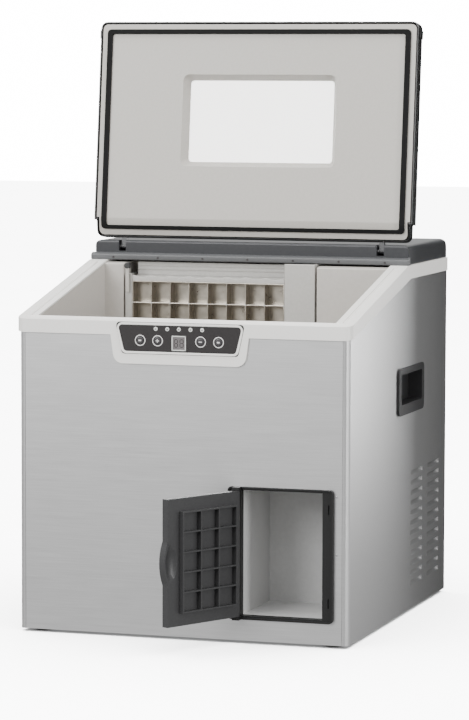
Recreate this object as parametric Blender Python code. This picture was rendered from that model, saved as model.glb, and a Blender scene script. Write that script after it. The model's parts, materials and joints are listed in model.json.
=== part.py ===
"""Countertop ice maker with a cube bin under a tilting lid and a crushed-ice box behind a door.

The cabinet frame has x across the machine, y from the front panel towards the rear and z up from
the panels' lower edge. Everything hangs on the empty "machine", which puts the middle of the whole
footprint, feet on the ground, at the world's origin. The lid stands open and the door stands open.
"""

from math import atan2, cos, hypot, pi, radians, sin, tan

import bmesh
import bpy
from mathutils import Matrix, Vector

MM = 0.001

# Cabinet
WIDTH = 430 * MM
DEPTH = 480 * MM
HEIGHT = 451 * MM  # lower edge of the panels to the level rear part of the rim
SHEET = 1.2 * MM
CLEAR = 0.3 * MM  # gap kept between pieces that touch
CORNER = 8 * MM  # bend at the two upright front edges
PANEL_LAP = 8 * MM  # how far the panels run up inside the rim's skirt
FOOT_HEIGHT = 4 * MM
FOOT_RADIUS = 13 * MM
FOOT_INSET = 24 * MM
PAN_WALL = 14 * MM

# Rim
RIM_SLOPE = radians(12.45)
RIM_LEVEL = 215.6 * MM  # length of the level part at the rear
RIM_BAND = 17.2 * MM
RIM_BAND_STEP = 16 * MM  # the lower edge turns level this far behind the upper edge
RIM_PLATE = 2.5 * MM
RIM_PROUD = 3 * MM
RIM_CORNER = 11 * MM
OPEN_SIDE = 21 * MM
OPEN_FRONT = 10.5 * MM
BEAD_SIDE = 10 * MM
BEAD_WIDTH = 1.6 * MM
BEAD_HEIGHT = 0.7 * MM
BEAD_FRONT = 9.1 * MM

# Control panel
CONTROL_X = -2.4 * MM
OVERLAY_X = -1.5 * MM
BIB_TOP = 184 * MM
BIB_BOTTOM = 170 * MM
BIB_LOW = 53.4 * MM  # below the rim's front edge
BIB_ROUND = 13 * MM
OVERLAY_TOP = 161 * MM
OVERLAY_BOTTOM = 144.5 * MM
OVERLAY_HIGH = 4.9 * MM  # below the rim's front edge
OVERLAY_TALL = 32.4 * MM
OVERLAY_ROUND = 4 * MM
OVERLAY_THICK = 1.2 * MM
SURROUND_RIDGE = 3 * MM
RIDGE_PROUD = 1.2 * MM
BUTTON_RADIUS = 4.6 * MM
BUTTON_PROUD = 1.0 * MM
BUTTON_TRAVEL = 0.8 * MM
BUTTON_FLANGE = 1.2 * MM
BUTTON_X = (-50.5 * MM, -27.7 * MM, 28.2 * MM, 51.4 * MM)  # from the panel's middle
BUTTON_DROP = 23.9 * MM
BUTTON_NAMES = ("button_power", "button_plus", "button_minus", "button_set")
LIGHT_COUNT = 5
LIGHT_PITCH = 15.1 * MM
LIGHT_RADIUS = 1.9 * MM
LIGHT_DROP = 9.2 * MM
DISPLAY_SIDE = 18.4 * MM
DISPLAY_DROP = 26.4 * MM
BOARD_THICK = 1.6 * MM
BOARD_SETBACK = 5 * MM
BOARD_BORDER = 6 * MM

# Cube bin and its foam
LINER = 2 * MM
FOAM = 10 * MM
BAY_DEPTH = 160 * MM
THROAT_WALL = 2.5 * MM

# Crushed-ice box, its frame and its door
FRAME_RIGHT = 18.5 * MM  # from the cabinet's side to the frame
FRAME_WIDTH = 135 * MM
FRAME_LOW = 27 * MM
FRAME_HEIGHT = 165 * MM
FRAME_PROUD = 5 * MM
FRAME_LIP = 2.2 * MM
FRAME_STEP = 2.5 * MM  # stile face behind the lip
FRAME_ROUND = 5 * MM
STILE_LEFT = 16 * MM
STILE_RIGHT = 14 * MM
BAR = 4.2 * MM
SLEEVE = 10 * MM
BOX_WALL = 2 * MM
BOX_DEPTH = 120 * MM
DOOR_THICK = 9 * MM
DOOR_OPEN = radians(118)
DOOR_LAP = 2.2 * MM
DOOR_SIDE = 6.2 * MM
DOOR_RIB = 6.5 * MM
DOOR_RIB_WIDTH = 1.8 * MM
DOOR_RIB_COLUMNS = 3
DOOR_RIB_ROWS = 5
DOOR_RIB_INSET = 10.5 * MM
DOOR_RIB_GRIP = 17 * MM
GRIP_PROUD = 5.5 * MM
GRIP_LENGTH = 54 * MM
GRIP_DIP = 4 * MM
GRIP_SCOOP = 23 * MM
PIN_RADIUS = 1.5 * MM
LATCH_SLOT = 12 * MM

# Crusher
CRUSHER_TALL = 40 * MM
CRUSHER_DEEP = 80 * MM
CRUSHER_FRONT = 18 * MM
CRUSHER_WALL = 3 * MM
THROAT_INSET = 6 * MM
SHAFT_RADIUS = 4 * MM
BLADE_RADIUS = 16 * MM
BLADE_THICK = 3 * MM
BLADE_COUNT = 5
COMB_BAR = 5 * MM
GEARBOX = 50 * MM
GEARBOX_TALL = 37 * MM
MOTOR_RADIUS = 17 * MM
MOTOR_LENGTH = 48 * MM
SHAFT_GRIP = 20 * MM

# Evaporator and water path
CELL = 26 * MM
CELL_TALL = 28 * MM
CELL_WALL = 1.6 * MM
CELL_COLUMNS = 8
CELL_DEEP = 18 * MM
CELL_PLATE = 2 * MM
EVAPORATOR_LEFT = 38.5 * MM  # from the liner's left wall
EVAPORATOR_DROP = 26.5 * MM  # below the level part of the rim
EVAPORATOR_FRONT = 8.4 * MM  # in front of the rim's bend
EVAPORATOR_BELOW = 16 * MM  # kept free above the bin's floor
TUBE_RADIUS = 3 * MM
POST = 9 * MM
SIDE_PANEL = 41 * MM
SURROUND_THICK = 3 * MM
TROUGH_LIP = 7 * MM
SCALLOPS = 8
TANK_WALL = 2.5 * MM
TANK_TALL = 172 * MM
TANK_GAP = 8 * MM
PUMP_RADIUS = 19 * MM
PUMP_TALL = 62 * MM

# Cooling bay
COMPRESSOR_GAP = 12 * MM  # between its foot and either side of the bay
COMPRESSOR_FOOT = 8 * MM  # beyond its shell
COMPRESSOR_TALL = 152 * MM
COMPRESSOR_SHIFT = 35 * MM  # from the power inlet's middle
CONDENSER_THICK = 22 * MM
CONDENSER_GAP = 6 * MM
CONDENSER_WIDE = 134 * MM
CONDENSER_TALL = 188 * MM
FIN_PITCH = 13 * MM
FIN_GAP = 6 * MM
SHROUD_THICK = 4 * MM
FAN_RADIUS = 52 * MM
FAN_GAP = 4 * MM
FAN_HUB = 16 * MM
FAN_DEEP = 20 * MM
FAN_BLADES = 5
FAN_PITCH = radians(35)
FAN_SHAFT = 3 * MM
FAN_MOTOR_RADIUS = 23 * MM
FAN_MOTOR_LENGTH = 42 * MM
BRACKET = 6 * MM

# Side louvres and rear vents
LOUVRE_ROWS = 12
LOUVRE_PITCH = 13.2 * MM
LOUVRE_LENGTH = 61 * MM
LOUVRE_TALL = 6.6 * MM
LOUVRE_SUNK = 4.5 * MM
LOUVRE_SKIN = 0.9 * MM
LOUVRE_LOW = 30 * MM
LOUVRE_REAR = 36 * MM
LOUVRE_GAP = 26 * MM
VENT_ROWS = 9
VENT_PITCH = 12 * MM
VENT_TALL = 4 * MM
VENT_LENGTH = 90 * MM
VENT_LOW = 110 * MM

# Carrying handles
HANDLE_FRONT = 225.5 * MM
HANDLE_LENGTH = 126 * MM
HANDLE_LOW = 259.5 * MM
HANDLE_TALL = 61 * MM
HANDLE_BORDER = 11 * MM
HANDLE_RISE = 2.5 * MM  # mouth of the cup above the middle of its bezel
HANDLE_PROUD = 3 * MM
HANDLE_DEPTH = 16 * MM
HANDLE_WALL = 2 * MM
HANDLE_ROUND = 7 * MM

# Rear cover and lid
COVER_TALL = 25.5 * MM
COVER_SIDE = 0.5 * MM
COVER_SETBACK = 13.1 * MM  # behind the rim's bend
COVER_WALL = 2.5 * MM
COVER_ROUND = 7 * MM
COVER_REAR_ROUND = 14 * MM
COVER_FRONT_ROUND = 2.8 * MM
RAIL_TALL = 9.4 * MM
RAIL_SETBACK = 3.2 * MM
RAIL_BEVEL = 5 * MM
LID_LEAN = radians(6.3)
LID_THICK = 18 * MM
LID_HALF = 218.5 * MM - 215 * MM  # past the cabinet's side
LID_END_NARROW = 3.5 * MM
LID_CORNER = 9 * MM
LID_WALL = 2.2 * MM
LID_END = 11.6 * MM  # pivot to the lid's hinge end
LID_BEND = 34.6 * MM  # pivot to the bend across the lid
LID_DEEP = 8 * MM  # pivot to the inner panel
LID_FRONT_LAP = 4.2 * MM
PIVOT_RISE = 17.1 * MM  # above the level part of the rim
PIVOT_BACK = 21.8 * MM  # behind the rim's bend
PANEL_THICK = 2.2 * MM
PANEL_RECESS = 0.6 * MM
GASKET_SIDE = 10.5 * MM  # lid's edge to the gasket
GASKET_WIDTH = 7 * MM
GASKET_TALL = 2.7 * MM
GASKET_END = 22.3 * MM  # pivot to the gasket's hinge side
GASKET_FRONT = 10.4 * MM
WINDOW_WIDE = 199 * MM
WINDOW_TALL = 109 * MM
WINDOW_LOW = 113 * MM  # pivot to the window
WINDOW_X = 5 * MM
WINDOW_ROUND = 5 * MM
WINDOW_FLARE = 7 * MM
WINDOW_THICK = 2 * MM
ARM_X = 177 * MM
ARM_WIDTH = 7 * MM
ARM_RADIUS = 3.2 * MM
NOTCH_SIDE = 1.5 * MM
NOTCH_BACK = 6.5 * MM
EAR = 3 * MM
GRIP_NUB = 1.6 * MM

# Rear connections
INLET_SIDE = 65 * MM  # from the cabinet's left side
INLET_Z = 62 * MM
INLET_WIDE = 50 * MM
INLET_TALL = 30 * MM
INLET_PROUD = 3 * MM
INLET_DEEP = 22 * MM
WATER_X = 60 * MM
WATER_Z = 70 * MM
WATER_RADIUS = 13 * MM
WATER_PROUD = 14 * MM
WATER_DEEP = 42 * MM
DRAIN_X = -20 * MM
DRAIN_Z = 26 * MM
DRAIN_RADIUS = 11 * MM
DRAIN_PROUD = 10 * MM
DRAIN_DEEP = 9 * MM

ROUND_SIDES = 28
FINE_SIDES = 16

# Places that several pieces share
HALF = WIDTH / 2
INLET_X = INLET_SIDE - HALF
KINK = DEPTH - RIM_LEVEL
RIM_FRONT = HEIGHT - KINK * tan(RIM_SLOPE)
OPEN_HALF = HALF - OPEN_SIDE
BAY_FRONT = DEPTH - SHEET - BAY_DEPTH
LINER_REAR = BAY_FRONT - FOAM - CLEAR
PAN_TOP = SHEET + CLEAR
FRAME_X1 = HALF - FRAME_RIGHT
FRAME_X0 = FRAME_X1 - FRAME_WIDTH
FRAME_Z0 = FRAME_LOW
FRAME_Z1 = FRAME_LOW + FRAME_HEIGHT
MOUTH_X0 = FRAME_X0 + STILE_LEFT
MOUTH_X1 = FRAME_X1 - STILE_RIGHT
MOUTH_Z0 = FRAME_Z0 + BAR
MOUTH_Z1 = FRAME_Z1 - BAR
BOX_TOP = MOUTH_Z1 + BOX_WALL
CRUSHER_LOW = BOX_TOP + CLEAR
CRUSHER_TOP = CRUSHER_LOW + CRUSHER_TALL
FOAM_LOW = CRUSHER_TOP + CLEAR
BIN_UNDER = FOAM_LOW + FOAM
BIN_FLOOR = BIN_UNDER + LINER
CRUSHER_X0 = MOUTH_X0
CRUSHER_X1 = MOUTH_X1
SHAFT_Y = CRUSHER_FRONT + CRUSHER_DEEP / 2
SHAFT_Z = CRUSHER_LOW + CRUSHER_TALL / 2
THROAT = (
    CRUSHER_X0 + THROAT_INSET,
    CRUSHER_X1 - THROAT_INSET,
    CRUSHER_FRONT + THROAT_INSET,
    CRUSHER_FRONT + CRUSHER_DEEP - THROAT_INSET,
)
EVAP_X0 = -OPEN_HALF + EVAPORATOR_LEFT
EVAP_X1 = EVAP_X0 + CELL_COLUMNS * CELL + CELL_WALL
EVAP_Y0 = KINK - EVAPORATOR_FRONT
EVAP_Y1 = EVAP_Y0 + CELL_DEEP + CELL_PLATE
EVAP_TOP = HEIGHT - EVAPORATOR_DROP
CELL_ROWS = int((EVAP_TOP - BIN_FLOOR - EVAPORATOR_BELOW) / CELL_TALL)
EVAP_LOW = EVAP_TOP - CELL_ROWS * CELL_TALL - CELL_WALL
PANEL_TOP_Z = RIM_FRONT - BUTTON_DROP
CONTROL_FACE = -RIM_PROUD
PIVOT = (0.0, KINK + PIVOT_BACK, HEIGHT + PIVOT_RISE)
HINGE_X = MOUTH_X0 - 3 * MM
HINGE_Y = -FRAME_PROUD - 0.5 * MM - DOOR_THICK / 2
DOOR_LENGTH = FRAME_X1 - DOOR_LAP - HINGE_X
DOOR_Z0 = FRAME_Z0 + BAR + CLEAR
DOOR_Z1 = FRAME_Z1 - BAR - CLEAR
FAN_Y = DEPTH - SHEET - 12 * MM - CONDENSER_WIDE / 2
FAN_Z = PAN_TOP + CONDENSER_TALL / 2
CONDENSER_X1 = HALF - SHEET - CONDENSER_GAP
CONDENSER_X0 = CONDENSER_X1 - CONDENSER_THICK
SHROUD_X0 = CONDENSER_X0 - CLEAR - SHROUD_THICK
FAN_X1 = SHROUD_X0 - FAN_GAP
FAN_X0 = FAN_X1 - FAN_DEEP

FINISHES = {
    "stainless": ((0.62, 0.62, 0.61), 0.32, 1.0),
    "galvanised": ((0.55, 0.56, 0.56), 0.45, 1.0),
    "rim_white": ((0.74, 0.73, 0.69), 0.35, 0.0),
    "liner_grey": ((0.60, 0.58, 0.54), 0.4, 0.0),
    "panel_grey": ((0.62, 0.60, 0.56), 0.4, 0.0),
    "foam": ((0.80, 0.72, 0.50), 0.9, 0.0),
    "cover_dark": ((0.07, 0.07, 0.075), 0.3, 0.0),
    "lid_black": ((0.02, 0.02, 0.022), 0.3, 0.0),
    "rubber": ((0.02, 0.02, 0.02), 0.8, 0.0),
    "clear": ((0.9, 0.92, 0.92), 0.05, 0.0),
    "door_grey": ((0.05, 0.05, 0.053), 0.45, 0.0),
    "overlay": ((0.05, 0.045, 0.045), 0.35, 0.0),
    "button": ((0.03, 0.03, 0.03), 0.4, 0.0),
    "light": ((0.75, 0.78, 0.75), 0.2, 0.0),
    "display": ((0.35, 0.36, 0.34), 0.2, 0.0),
    "board": ((0.03, 0.22, 0.10), 0.5, 0.0),
    "white_plastic": ((0.78, 0.79, 0.78), 0.35, 0.0),
    "plated": ((0.60, 0.57, 0.52), 0.3, 1.0),
    "copper": ((0.72, 0.38, 0.22), 0.3, 1.0),
    "steel": ((0.55, 0.55, 0.56), 0.3, 1.0),
    "black_paint": ((0.02, 0.02, 0.02), 0.45, 0.0),
    "aluminium": ((0.70, 0.71, 0.72), 0.4, 1.0),
    "tank": ((0.70, 0.74, 0.76), 0.3, 0.0),
}


# --- shapes -----------------------------------------------------------------------------------


def block(x0, x1, y0, y1, z0, z1):
    """A box between two corners."""
    shape = bmesh.new()
    size = Matrix.Diagonal((x1 - x0, y1 - y0, z1 - z0, 1))
    middle = Matrix.Translation(((x0 + x1) / 2, (y0 + y1) / 2, (z0 + z1) / 2))
    bmesh.ops.create_cube(shape, size=1, matrix=middle @ size)
    return shape


def place(axis, along, a, b):
    """The point whose two other coordinates, in x, y, z order, are a and b."""
    return {"X": (along, a, b), "Y": (a, along, b), "Z": (a, b, along)}[axis]


def prism(outline, axis, low, high):
    """An outline in the plane across an axis, extruded along it."""
    shape = bmesh.new()
    ends = [[shape.verts.new(place(axis, t, a, b)) for a, b in outline] for t in (low, high)]
    for ring in ends:
        shape.faces.new(ring)
    for i in range(len(outline)):
        j = (i + 1) % len(outline)
        shape.faces.new((ends[0][i], ends[0][j], ends[1][j], ends[1][i]))
    bmesh.ops.recalc_face_normals(shape, faces=shape.faces)
    return shape


def turned(profile, axis, centre, sides=ROUND_SIDES):
    """A closed profile of (radius, along) points turned round an axis through centre."""
    shape = bmesh.new()
    rings = []
    for radius, along in profile:
        if radius == 0:
            rings.append([shape.verts.new(place(axis, along, 0, 0))] * sides)
            continue
        turns = (2 * pi * i / sides for i in range(sides))
        rings.append([shape.verts.new(place(axis, along, radius * cos(t), radius * sin(t))) for t in turns])
    for first, second in zip(rings, rings[1:] + rings[:1]):
        for i in range(sides):
            j = (i + 1) % sides
            corners = list(dict.fromkeys((first[i], first[j], second[j], second[i])))
            if len(corners) > 2:
                shape.faces.new(corners)
    bmesh.ops.recalc_face_normals(shape, faces=shape.faces)
    bmesh.ops.translate(shape, verts=shape.verts, vec=centre)
    return shape


def rod(radius, axis, low, high, centre, sides=ROUND_SIDES):
    """A round bar; centre gives the two coordinates across the axis."""
    return turned([(0, low), (radius, low), (radius, high), (0, high)], axis, centre, sides)


def rounded(corners, radius, steps=4):
    """An outline with its corners replaced by arcs; one radius, or one for each corner."""
    points = []
    count = len(corners)
    radii = radius if isinstance(radius, (list, tuple)) else [radius] * count
    for i, (corner, size) in enumerate(zip(corners, radii)):
        if size == 0:
            points.append(corner)
            continue
        here = Vector(corner)
        back = (Vector(corners[i - 1]) - here).normalized()
        ahead = (Vector(corners[(i + 1) % count]) - here).normalized()
        half = back.angle(ahead) / 2
        middle = here + (back + ahead).normalized() * size / sin(half)
        start = here + back * size / tan(half) - middle
        turn = pi - 2 * half
        if back.x * ahead.y - back.y * ahead.x > 0:
            turn = -turn
        for step in range(steps + 1):
            angle = turn * step / steps
            x = middle.x + start.x * cos(angle) - start.y * sin(angle)
            points.append((x, middle.y + start.x * sin(angle) + start.y * cos(angle)))
    return points


def rectangle(x0, x1, y0, y1, radius=0, steps=4):
    corners = [(x0, y0), (x1, y0), (x1, y1), (x0, y1)]
    return rounded(corners, radius, steps) if radius else corners


def combined(base, tool, operation):
    """The Boolean of two shapes; both are used up."""
    pair = []
    for shape in (base, tool):
        mesh = bpy.data.meshes.new("work")
        shape.to_mesh(mesh)
        shape.free()
        pair.append(bpy.data.objects.new("work", mesh))
        bpy.context.scene.collection.objects.link(pair[-1])
    modifier = pair[0].modifiers.new("work", "BOOLEAN")
    modifier.operation = operation
    modifier.solver = "EXACT"
    modifier.object = pair[1]
    graph = bpy.context.evaluated_depsgraph_get()
    result = bmesh.new()
    result.from_mesh(pair[0].evaluated_get(graph).to_mesh())
    for thing in pair:
        mesh = thing.data
        bpy.data.objects.remove(thing)
        bpy.data.meshes.remove(mesh)
    return result


def joined(base, *others):
    for other in others:
        base = combined(base, other, "UNION")
    return base


def cut(base, *tools):
    for tool in tools:
        base = combined(base, tool, "DIFFERENCE")
    return base


def shared(base, tool):
    return combined(base, tool, "INTERSECT")


def gathered(shapes):
    """Shapes that don't touch, put in one mesh for use as a tool."""
    result = bmesh.new()
    for shape in shapes:
        mesh = bpy.data.meshes.new("work")
        shape.to_mesh(mesh)
        shape.free()
        result.from_mesh(mesh)
        bpy.data.meshes.remove(mesh)
    return result


def moved(shape, offset, turn=None):
    if turn is not None:
        bmesh.ops.transform(shape, matrix=turn, verts=shape.verts)
    bmesh.ops.translate(shape, verts=shape.verts, vec=offset)
    return shape


def finish(name):
    """The material of that name, made the first time it is asked for."""
    if name in bpy.data.materials:
        return bpy.data.materials[name]
    colour, roughness, metallic = FINISHES[name]
    material = bpy.data.materials.new(name)
    material.use_nodes = True
    shader = material.node_tree.nodes["Principled BSDF"]
    shader.inputs["Base Color"].default_value = (*colour, 1)
    shader.inputs["Roughness"].default_value = roughness
    shader.inputs["Metallic"].default_value = metallic
    material.diffuse_color = (*colour, 1)
    return material


def node(name, shape, material, parent, origin=(0, 0, 0), smooth=False):
    """One piece of the machine, its shape given round its own origin."""
    bmesh.ops.remove_doubles(shape, verts=shape.verts, dist=0.002 * MM)
    mesh = bpy.data.meshes.new(name)
    shape.to_mesh(mesh)
    shape.free()
    if smooth:
        mesh.shade_smooth()
        mesh.set_sharp_from_angle(angle=radians(35))
    mesh.materials.append(finish(material))
    piece = bpy.data.objects.new(name, mesh)
    bpy.context.scene.collection.objects.link(piece)
    piece.parent = parent
    piece.location = origin
    return piece


def empty(name, location, parent=None, turn=0.0):
    holder = bpy.data.objects.new(name, None)
    bpy.context.scene.collection.objects.link(holder)
    holder.parent = parent
    holder.location = location
    holder.rotation_euler = (turn, 0, 0)
    return holder


# --- cabinet ----------------------------------------------------------------------------------


def rim_line(offset):
    """The rim's upper line in the side view, shifted down by offset, from front to rear."""
    run = RIM_PROUD + 5 * MM
    return [
        (-run, RIM_FRONT - run * tan(RIM_SLOPE) - offset),
        (KINK, HEIGHT - offset),
        (DEPTH + run, HEIGHT - offset),
    ]


def band_line(rise):
    """The rim's lower edge in the side view, raised by rise, from front to rear."""
    low = RIM_FRONT - RIM_BAND + rise
    run = RIM_PROUD + 5 * MM
    bend = KINK + RIM_BAND_STEP
    slope = (HEIGHT - RIM_BAND + rise - low) / bend
    return [(-run, low - run * slope), (bend, low + bend * slope), (DEPTH + run, low + bend * slope)]


def above(line, height=1.0):
    """Everything above a side-view line, as a tool."""
    top = [(line[-1][0], line[-1][1] + height), (line[0][0], line[-1][1] + height)]
    return prism(line + top, "X", -WIDTH, WIDTH)


def below(line):
    bottom = [(line[-1][0], -0.1), (line[0][0], -0.1)]
    return prism(line + bottom, "X", -WIDTH, WIDTH)


def base_pan(machine):
    side = HALF - SHEET - CLEAR
    front, rear = SHEET + CLEAR, DEPTH - SHEET - CLEAR
    radii = [CORNER, CORNER, 0, 0]
    shape = prism(rounded(rectangle(-side, side, front, rear), radii), "Z", 0, PAN_WALL)
    inner = rectangle(-side + SHEET, side - SHEET, front + SHEET, rear - SHEET)
    hollow = prism(rounded(inner, radii), "Z", SHEET, PAN_WALL + SHEET)
    node("base_pan", cut(shape, hollow), "galvanised", machine)


def feet(machine):
    profile = [(0, 0), (0.8, 0), (1, 0.35), (1, 1), (0, 1)]
    for row, y in (("front", FOOT_INSET), ("rear", DEPTH - FOOT_INSET)):
        for side, x in (("left", FOOT_INSET - HALF), ("right", HALF - FOOT_INSET)):
            points = [(r * FOOT_RADIUS, t * (FOOT_HEIGHT - CLEAR)) for r, t in profile]
            shape = turned(points, "Z", (0, 0, 0))
            node(f"foot_{row}_{side}", shape, "rubber", machine, (x, y, -FOOT_HEIGHT), smooth=True)


def front_panel(machine):
    side = HALF - CORNER - CLEAR
    top = RIM_FRONT - RIM_BAND + PANEL_LAP
    shape = block(-side, side, 0, SHEET, 0, top)
    control = control_cutout(-SHEET, 2 * SHEET, top + SHEET)
    door = block(
        MOUTH_X0 - BOX_WALL, MOUTH_X1 + BOX_WALL, -SHEET, 2 * SHEET, MOUTH_Z0 - BOX_WALL, MOUTH_Z1 + BOX_WALL
    )
    node("front_panel", cut(shape, control, door), "stainless", machine)


def control_cutout(y0, y1, top):
    """The notch in the front panel behind the buttons and the display."""
    half = OVERLAY_BOTTOM / 2 - 3 * MM
    low = RIM_FRONT - OVERLAY_HIGH - OVERLAY_TALL + MM
    return block(CONTROL_X - half, CONTROL_X + half, y0, y1, low, top)


def louvre_places():
    """Front end and top edge of each louvre, in the side view."""
    rear_column = DEPTH - LOUVRE_REAR - LOUVRE_LENGTH
    columns = (rear_column - LOUVRE_GAP - LOUVRE_LENGTH, rear_column)
    return [(y, LOUVRE_LOW + row * LOUVRE_PITCH + LOUVRE_TALL) for y in columns for row in range(LOUVRE_ROWS)]


def louvre_hoods(outer):
    """Wedges pressed into the right side panel, deep along their top edge and open there."""
    deep, slot = HALF - LOUVRE_SUNK, 0.3 * MM
    hoods = []
    for y, top in louvre_places():
        low = top - LOUVRE_TALL
        if outer:
            root, back = HALF - SHEET / 2, deep - LOUVRE_SKIN
            outline = [(root, low), (HALF - SHEET, low), (back, top), (root, top)]
            hoods.append(prism(outline, "Y", y, y + LOUVRE_LENGTH))
        else:
            front, foot = HALF + MM, low + LOUVRE_SKIN
            outline = [(front, foot), (HALF, foot), (deep, top), (deep, top + slot), (front, top + slot)]
            hoods.append(prism(outline, "Y", y + LOUVRE_SKIN, y + LOUVRE_LENGTH - LOUVRE_SKIN))
    return gathered(hoods)


def bend_outline(steps=6):
    """Plan of the right side panel: flat side, round front corner, open ends."""
    outer, inner = [], []
    for step in range(steps + 1):
        turn = radians(90) * step / steps
        for line, radius in ((outer, CORNER), (inner, CORNER - SHEET)):
            line.append((HALF - CORNER + radius * sin(turn), CORNER - radius * cos(turn)))
    return outer + [(HALF, DEPTH), (HALF - SHEET, DEPTH)] + inner[::-1]


def handle_hole(grow, x0, x1):
    """The side panel's hole for the handle cup, larger by grow."""
    border = HANDLE_BORDER - HANDLE_WALL - grow
    return block(
        x0,
        x1,
        HANDLE_FRONT + border,
        HANDLE_FRONT + HANDLE_LENGTH - border,
        HANDLE_LOW + HANDLE_RISE + border,
        HANDLE_LOW + HANDLE_RISE + HANDLE_TALL - border,
    )


def mirrored(shape):
    bmesh.ops.scale(shape, vec=(-1, 1, 1), verts=shape.verts)
    bmesh.ops.reverse_faces(shape, faces=shape.faces)
    return shape


def right_side():
    shape = prism(bend_outline(), "Z", 0, HEIGHT)
    shape = cut(shape, above(band_line(PANEL_LAP)))
    shape = cut(shape, handle_hole(CLEAR, HALF - 5 * SHEET, HALF + SHEET))
    return cut(joined(shape, louvre_hoods(True)), louvre_hoods(False))


def side_panels(machine):
    node("right_side_panel", right_side(), "stainless", machine)
    node("left_side_panel", mirrored(right_side()), "stainless", machine)


def rear_panel(machine):
    side = HALF - SHEET - CLEAR
    shape = block(-side, side, DEPTH - SHEET, DEPTH, 0, HEIGHT - RIM_BAND + PANEL_LAP)
    y0, y1 = DEPTH - 2 * SHEET, DEPTH + SHEET
    slots = []
    for middle in (-WIDTH / 4, WIDTH / 4):
        for row in range(VENT_ROWS):
            z = VENT_LOW + row * VENT_PITCH
            slots.append(block(middle - VENT_LENGTH / 2, middle + VENT_LENGTH / 2, y0, y1, z, z + VENT_TALL))
    wide, tall = INLET_WIDE / 2 - 6 * MM, INLET_TALL / 2 - 4 * MM
    socket = block(INLET_X - wide, INLET_X + wide, y0, y1, INLET_Z - tall, INLET_Z + tall)
    water = rod(WATER_RADIUS + CLEAR, "Y", y0, y1, (WATER_X, 0, WATER_Z))
    drain = rod(DRAIN_RADIUS - 3 * MM + CLEAR, "Y", y0, y1, (DRAIN_X, 0, DRAIN_Z))
    node("rear_panel", cut(shape, gathered(slots), socket, water, drain), "galvanised", machine)


def handle_cups(machine):
    """A finger cup pushed into each side panel, with a proud bezel outside."""

    def cup():
        y0, z0 = HANDLE_FRONT, HANDLE_LOW
        y1, z1 = y0 + HANDLE_LENGTH, z0 + HANDLE_TALL
        bezel = prism(rectangle(y0, y1, z0, z1, HANDLE_ROUND), "X", HALF + CLEAR, HALF + HANDLE_PROUD)
        body = handle_hole(0, HALF - HANDLE_DEPTH - HANDLE_WALL, HALF + 2 * CLEAR)
        border = HANDLE_BORDER
        z0, z1 = z0 + HANDLE_RISE, z1 + HANDLE_RISE
        mouth = rectangle(y0 + border, y1 - border, z0 + border, z1 - border, HANDLE_WALL)
        pocket = prism(mouth, "X", HALF - HANDLE_DEPTH, HALF + HANDLE_PROUD + SHEET)
        return cut(joined(bezel, body), pocket)

    node("handle_cup_right", cup(), "door_grey", machine)
    node("handle_cup_left", mirrored(cup()), "door_grey", machine)


# --- rim and controls -------------------------------------------------------------------------


def trapezoid(top, bottom, high, low, radius):
    """A symmetric panel outline that narrows downwards, in the front view."""
    corners = [
        (OVERLAY_X - bottom / 2, low),
        (OVERLAY_X + bottom / 2, low),
        (OVERLAY_X + top / 2, high),
        (OVERLAY_X - top / 2, high),
    ]
    return rounded(corners, radius)


def overlay_outline(grow):
    high = RIM_FRONT - OVERLAY_HIGH
    return trapezoid(
        OVERLAY_TOP + 2 * grow,
        OVERLAY_BOTTOM + 2 * grow,
        high + grow,
        high - OVERLAY_TALL - grow,
        OVERLAY_ROUND + grow,
    )


def button_places():
    return [(CONTROL_X + x, RIM_FRONT - BUTTON_DROP) for x in BUTTON_X]


def light_places():
    first = CONTROL_X - LIGHT_PITCH * (LIGHT_COUNT - 1) / 2
    return [(first + i * LIGHT_PITCH, RIM_FRONT - LIGHT_DROP) for i in range(LIGHT_COUNT)]


def control_holes(y0, y1):
    """Tools for the buttons, lights and display, through any layer of the control panel."""
    tools = [rod(BUTTON_RADIUS + CLEAR, "Y", y0, y1, (x, 0, z), FINE_SIDES) for x, z in button_places()]
    tools += [rod(LIGHT_RADIUS + CLEAR, "Y", y0, y1, (x, 0, z), FINE_SIDES) for x, z in light_places()]
    half = DISPLAY_SIDE / 2 + CLEAR
    z = RIM_FRONT - DISPLAY_DROP
    tools.append(block(CONTROL_X - half, CONTROL_X + half, y0, y1, z - half, z + half))
    return gathered(tools)


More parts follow.
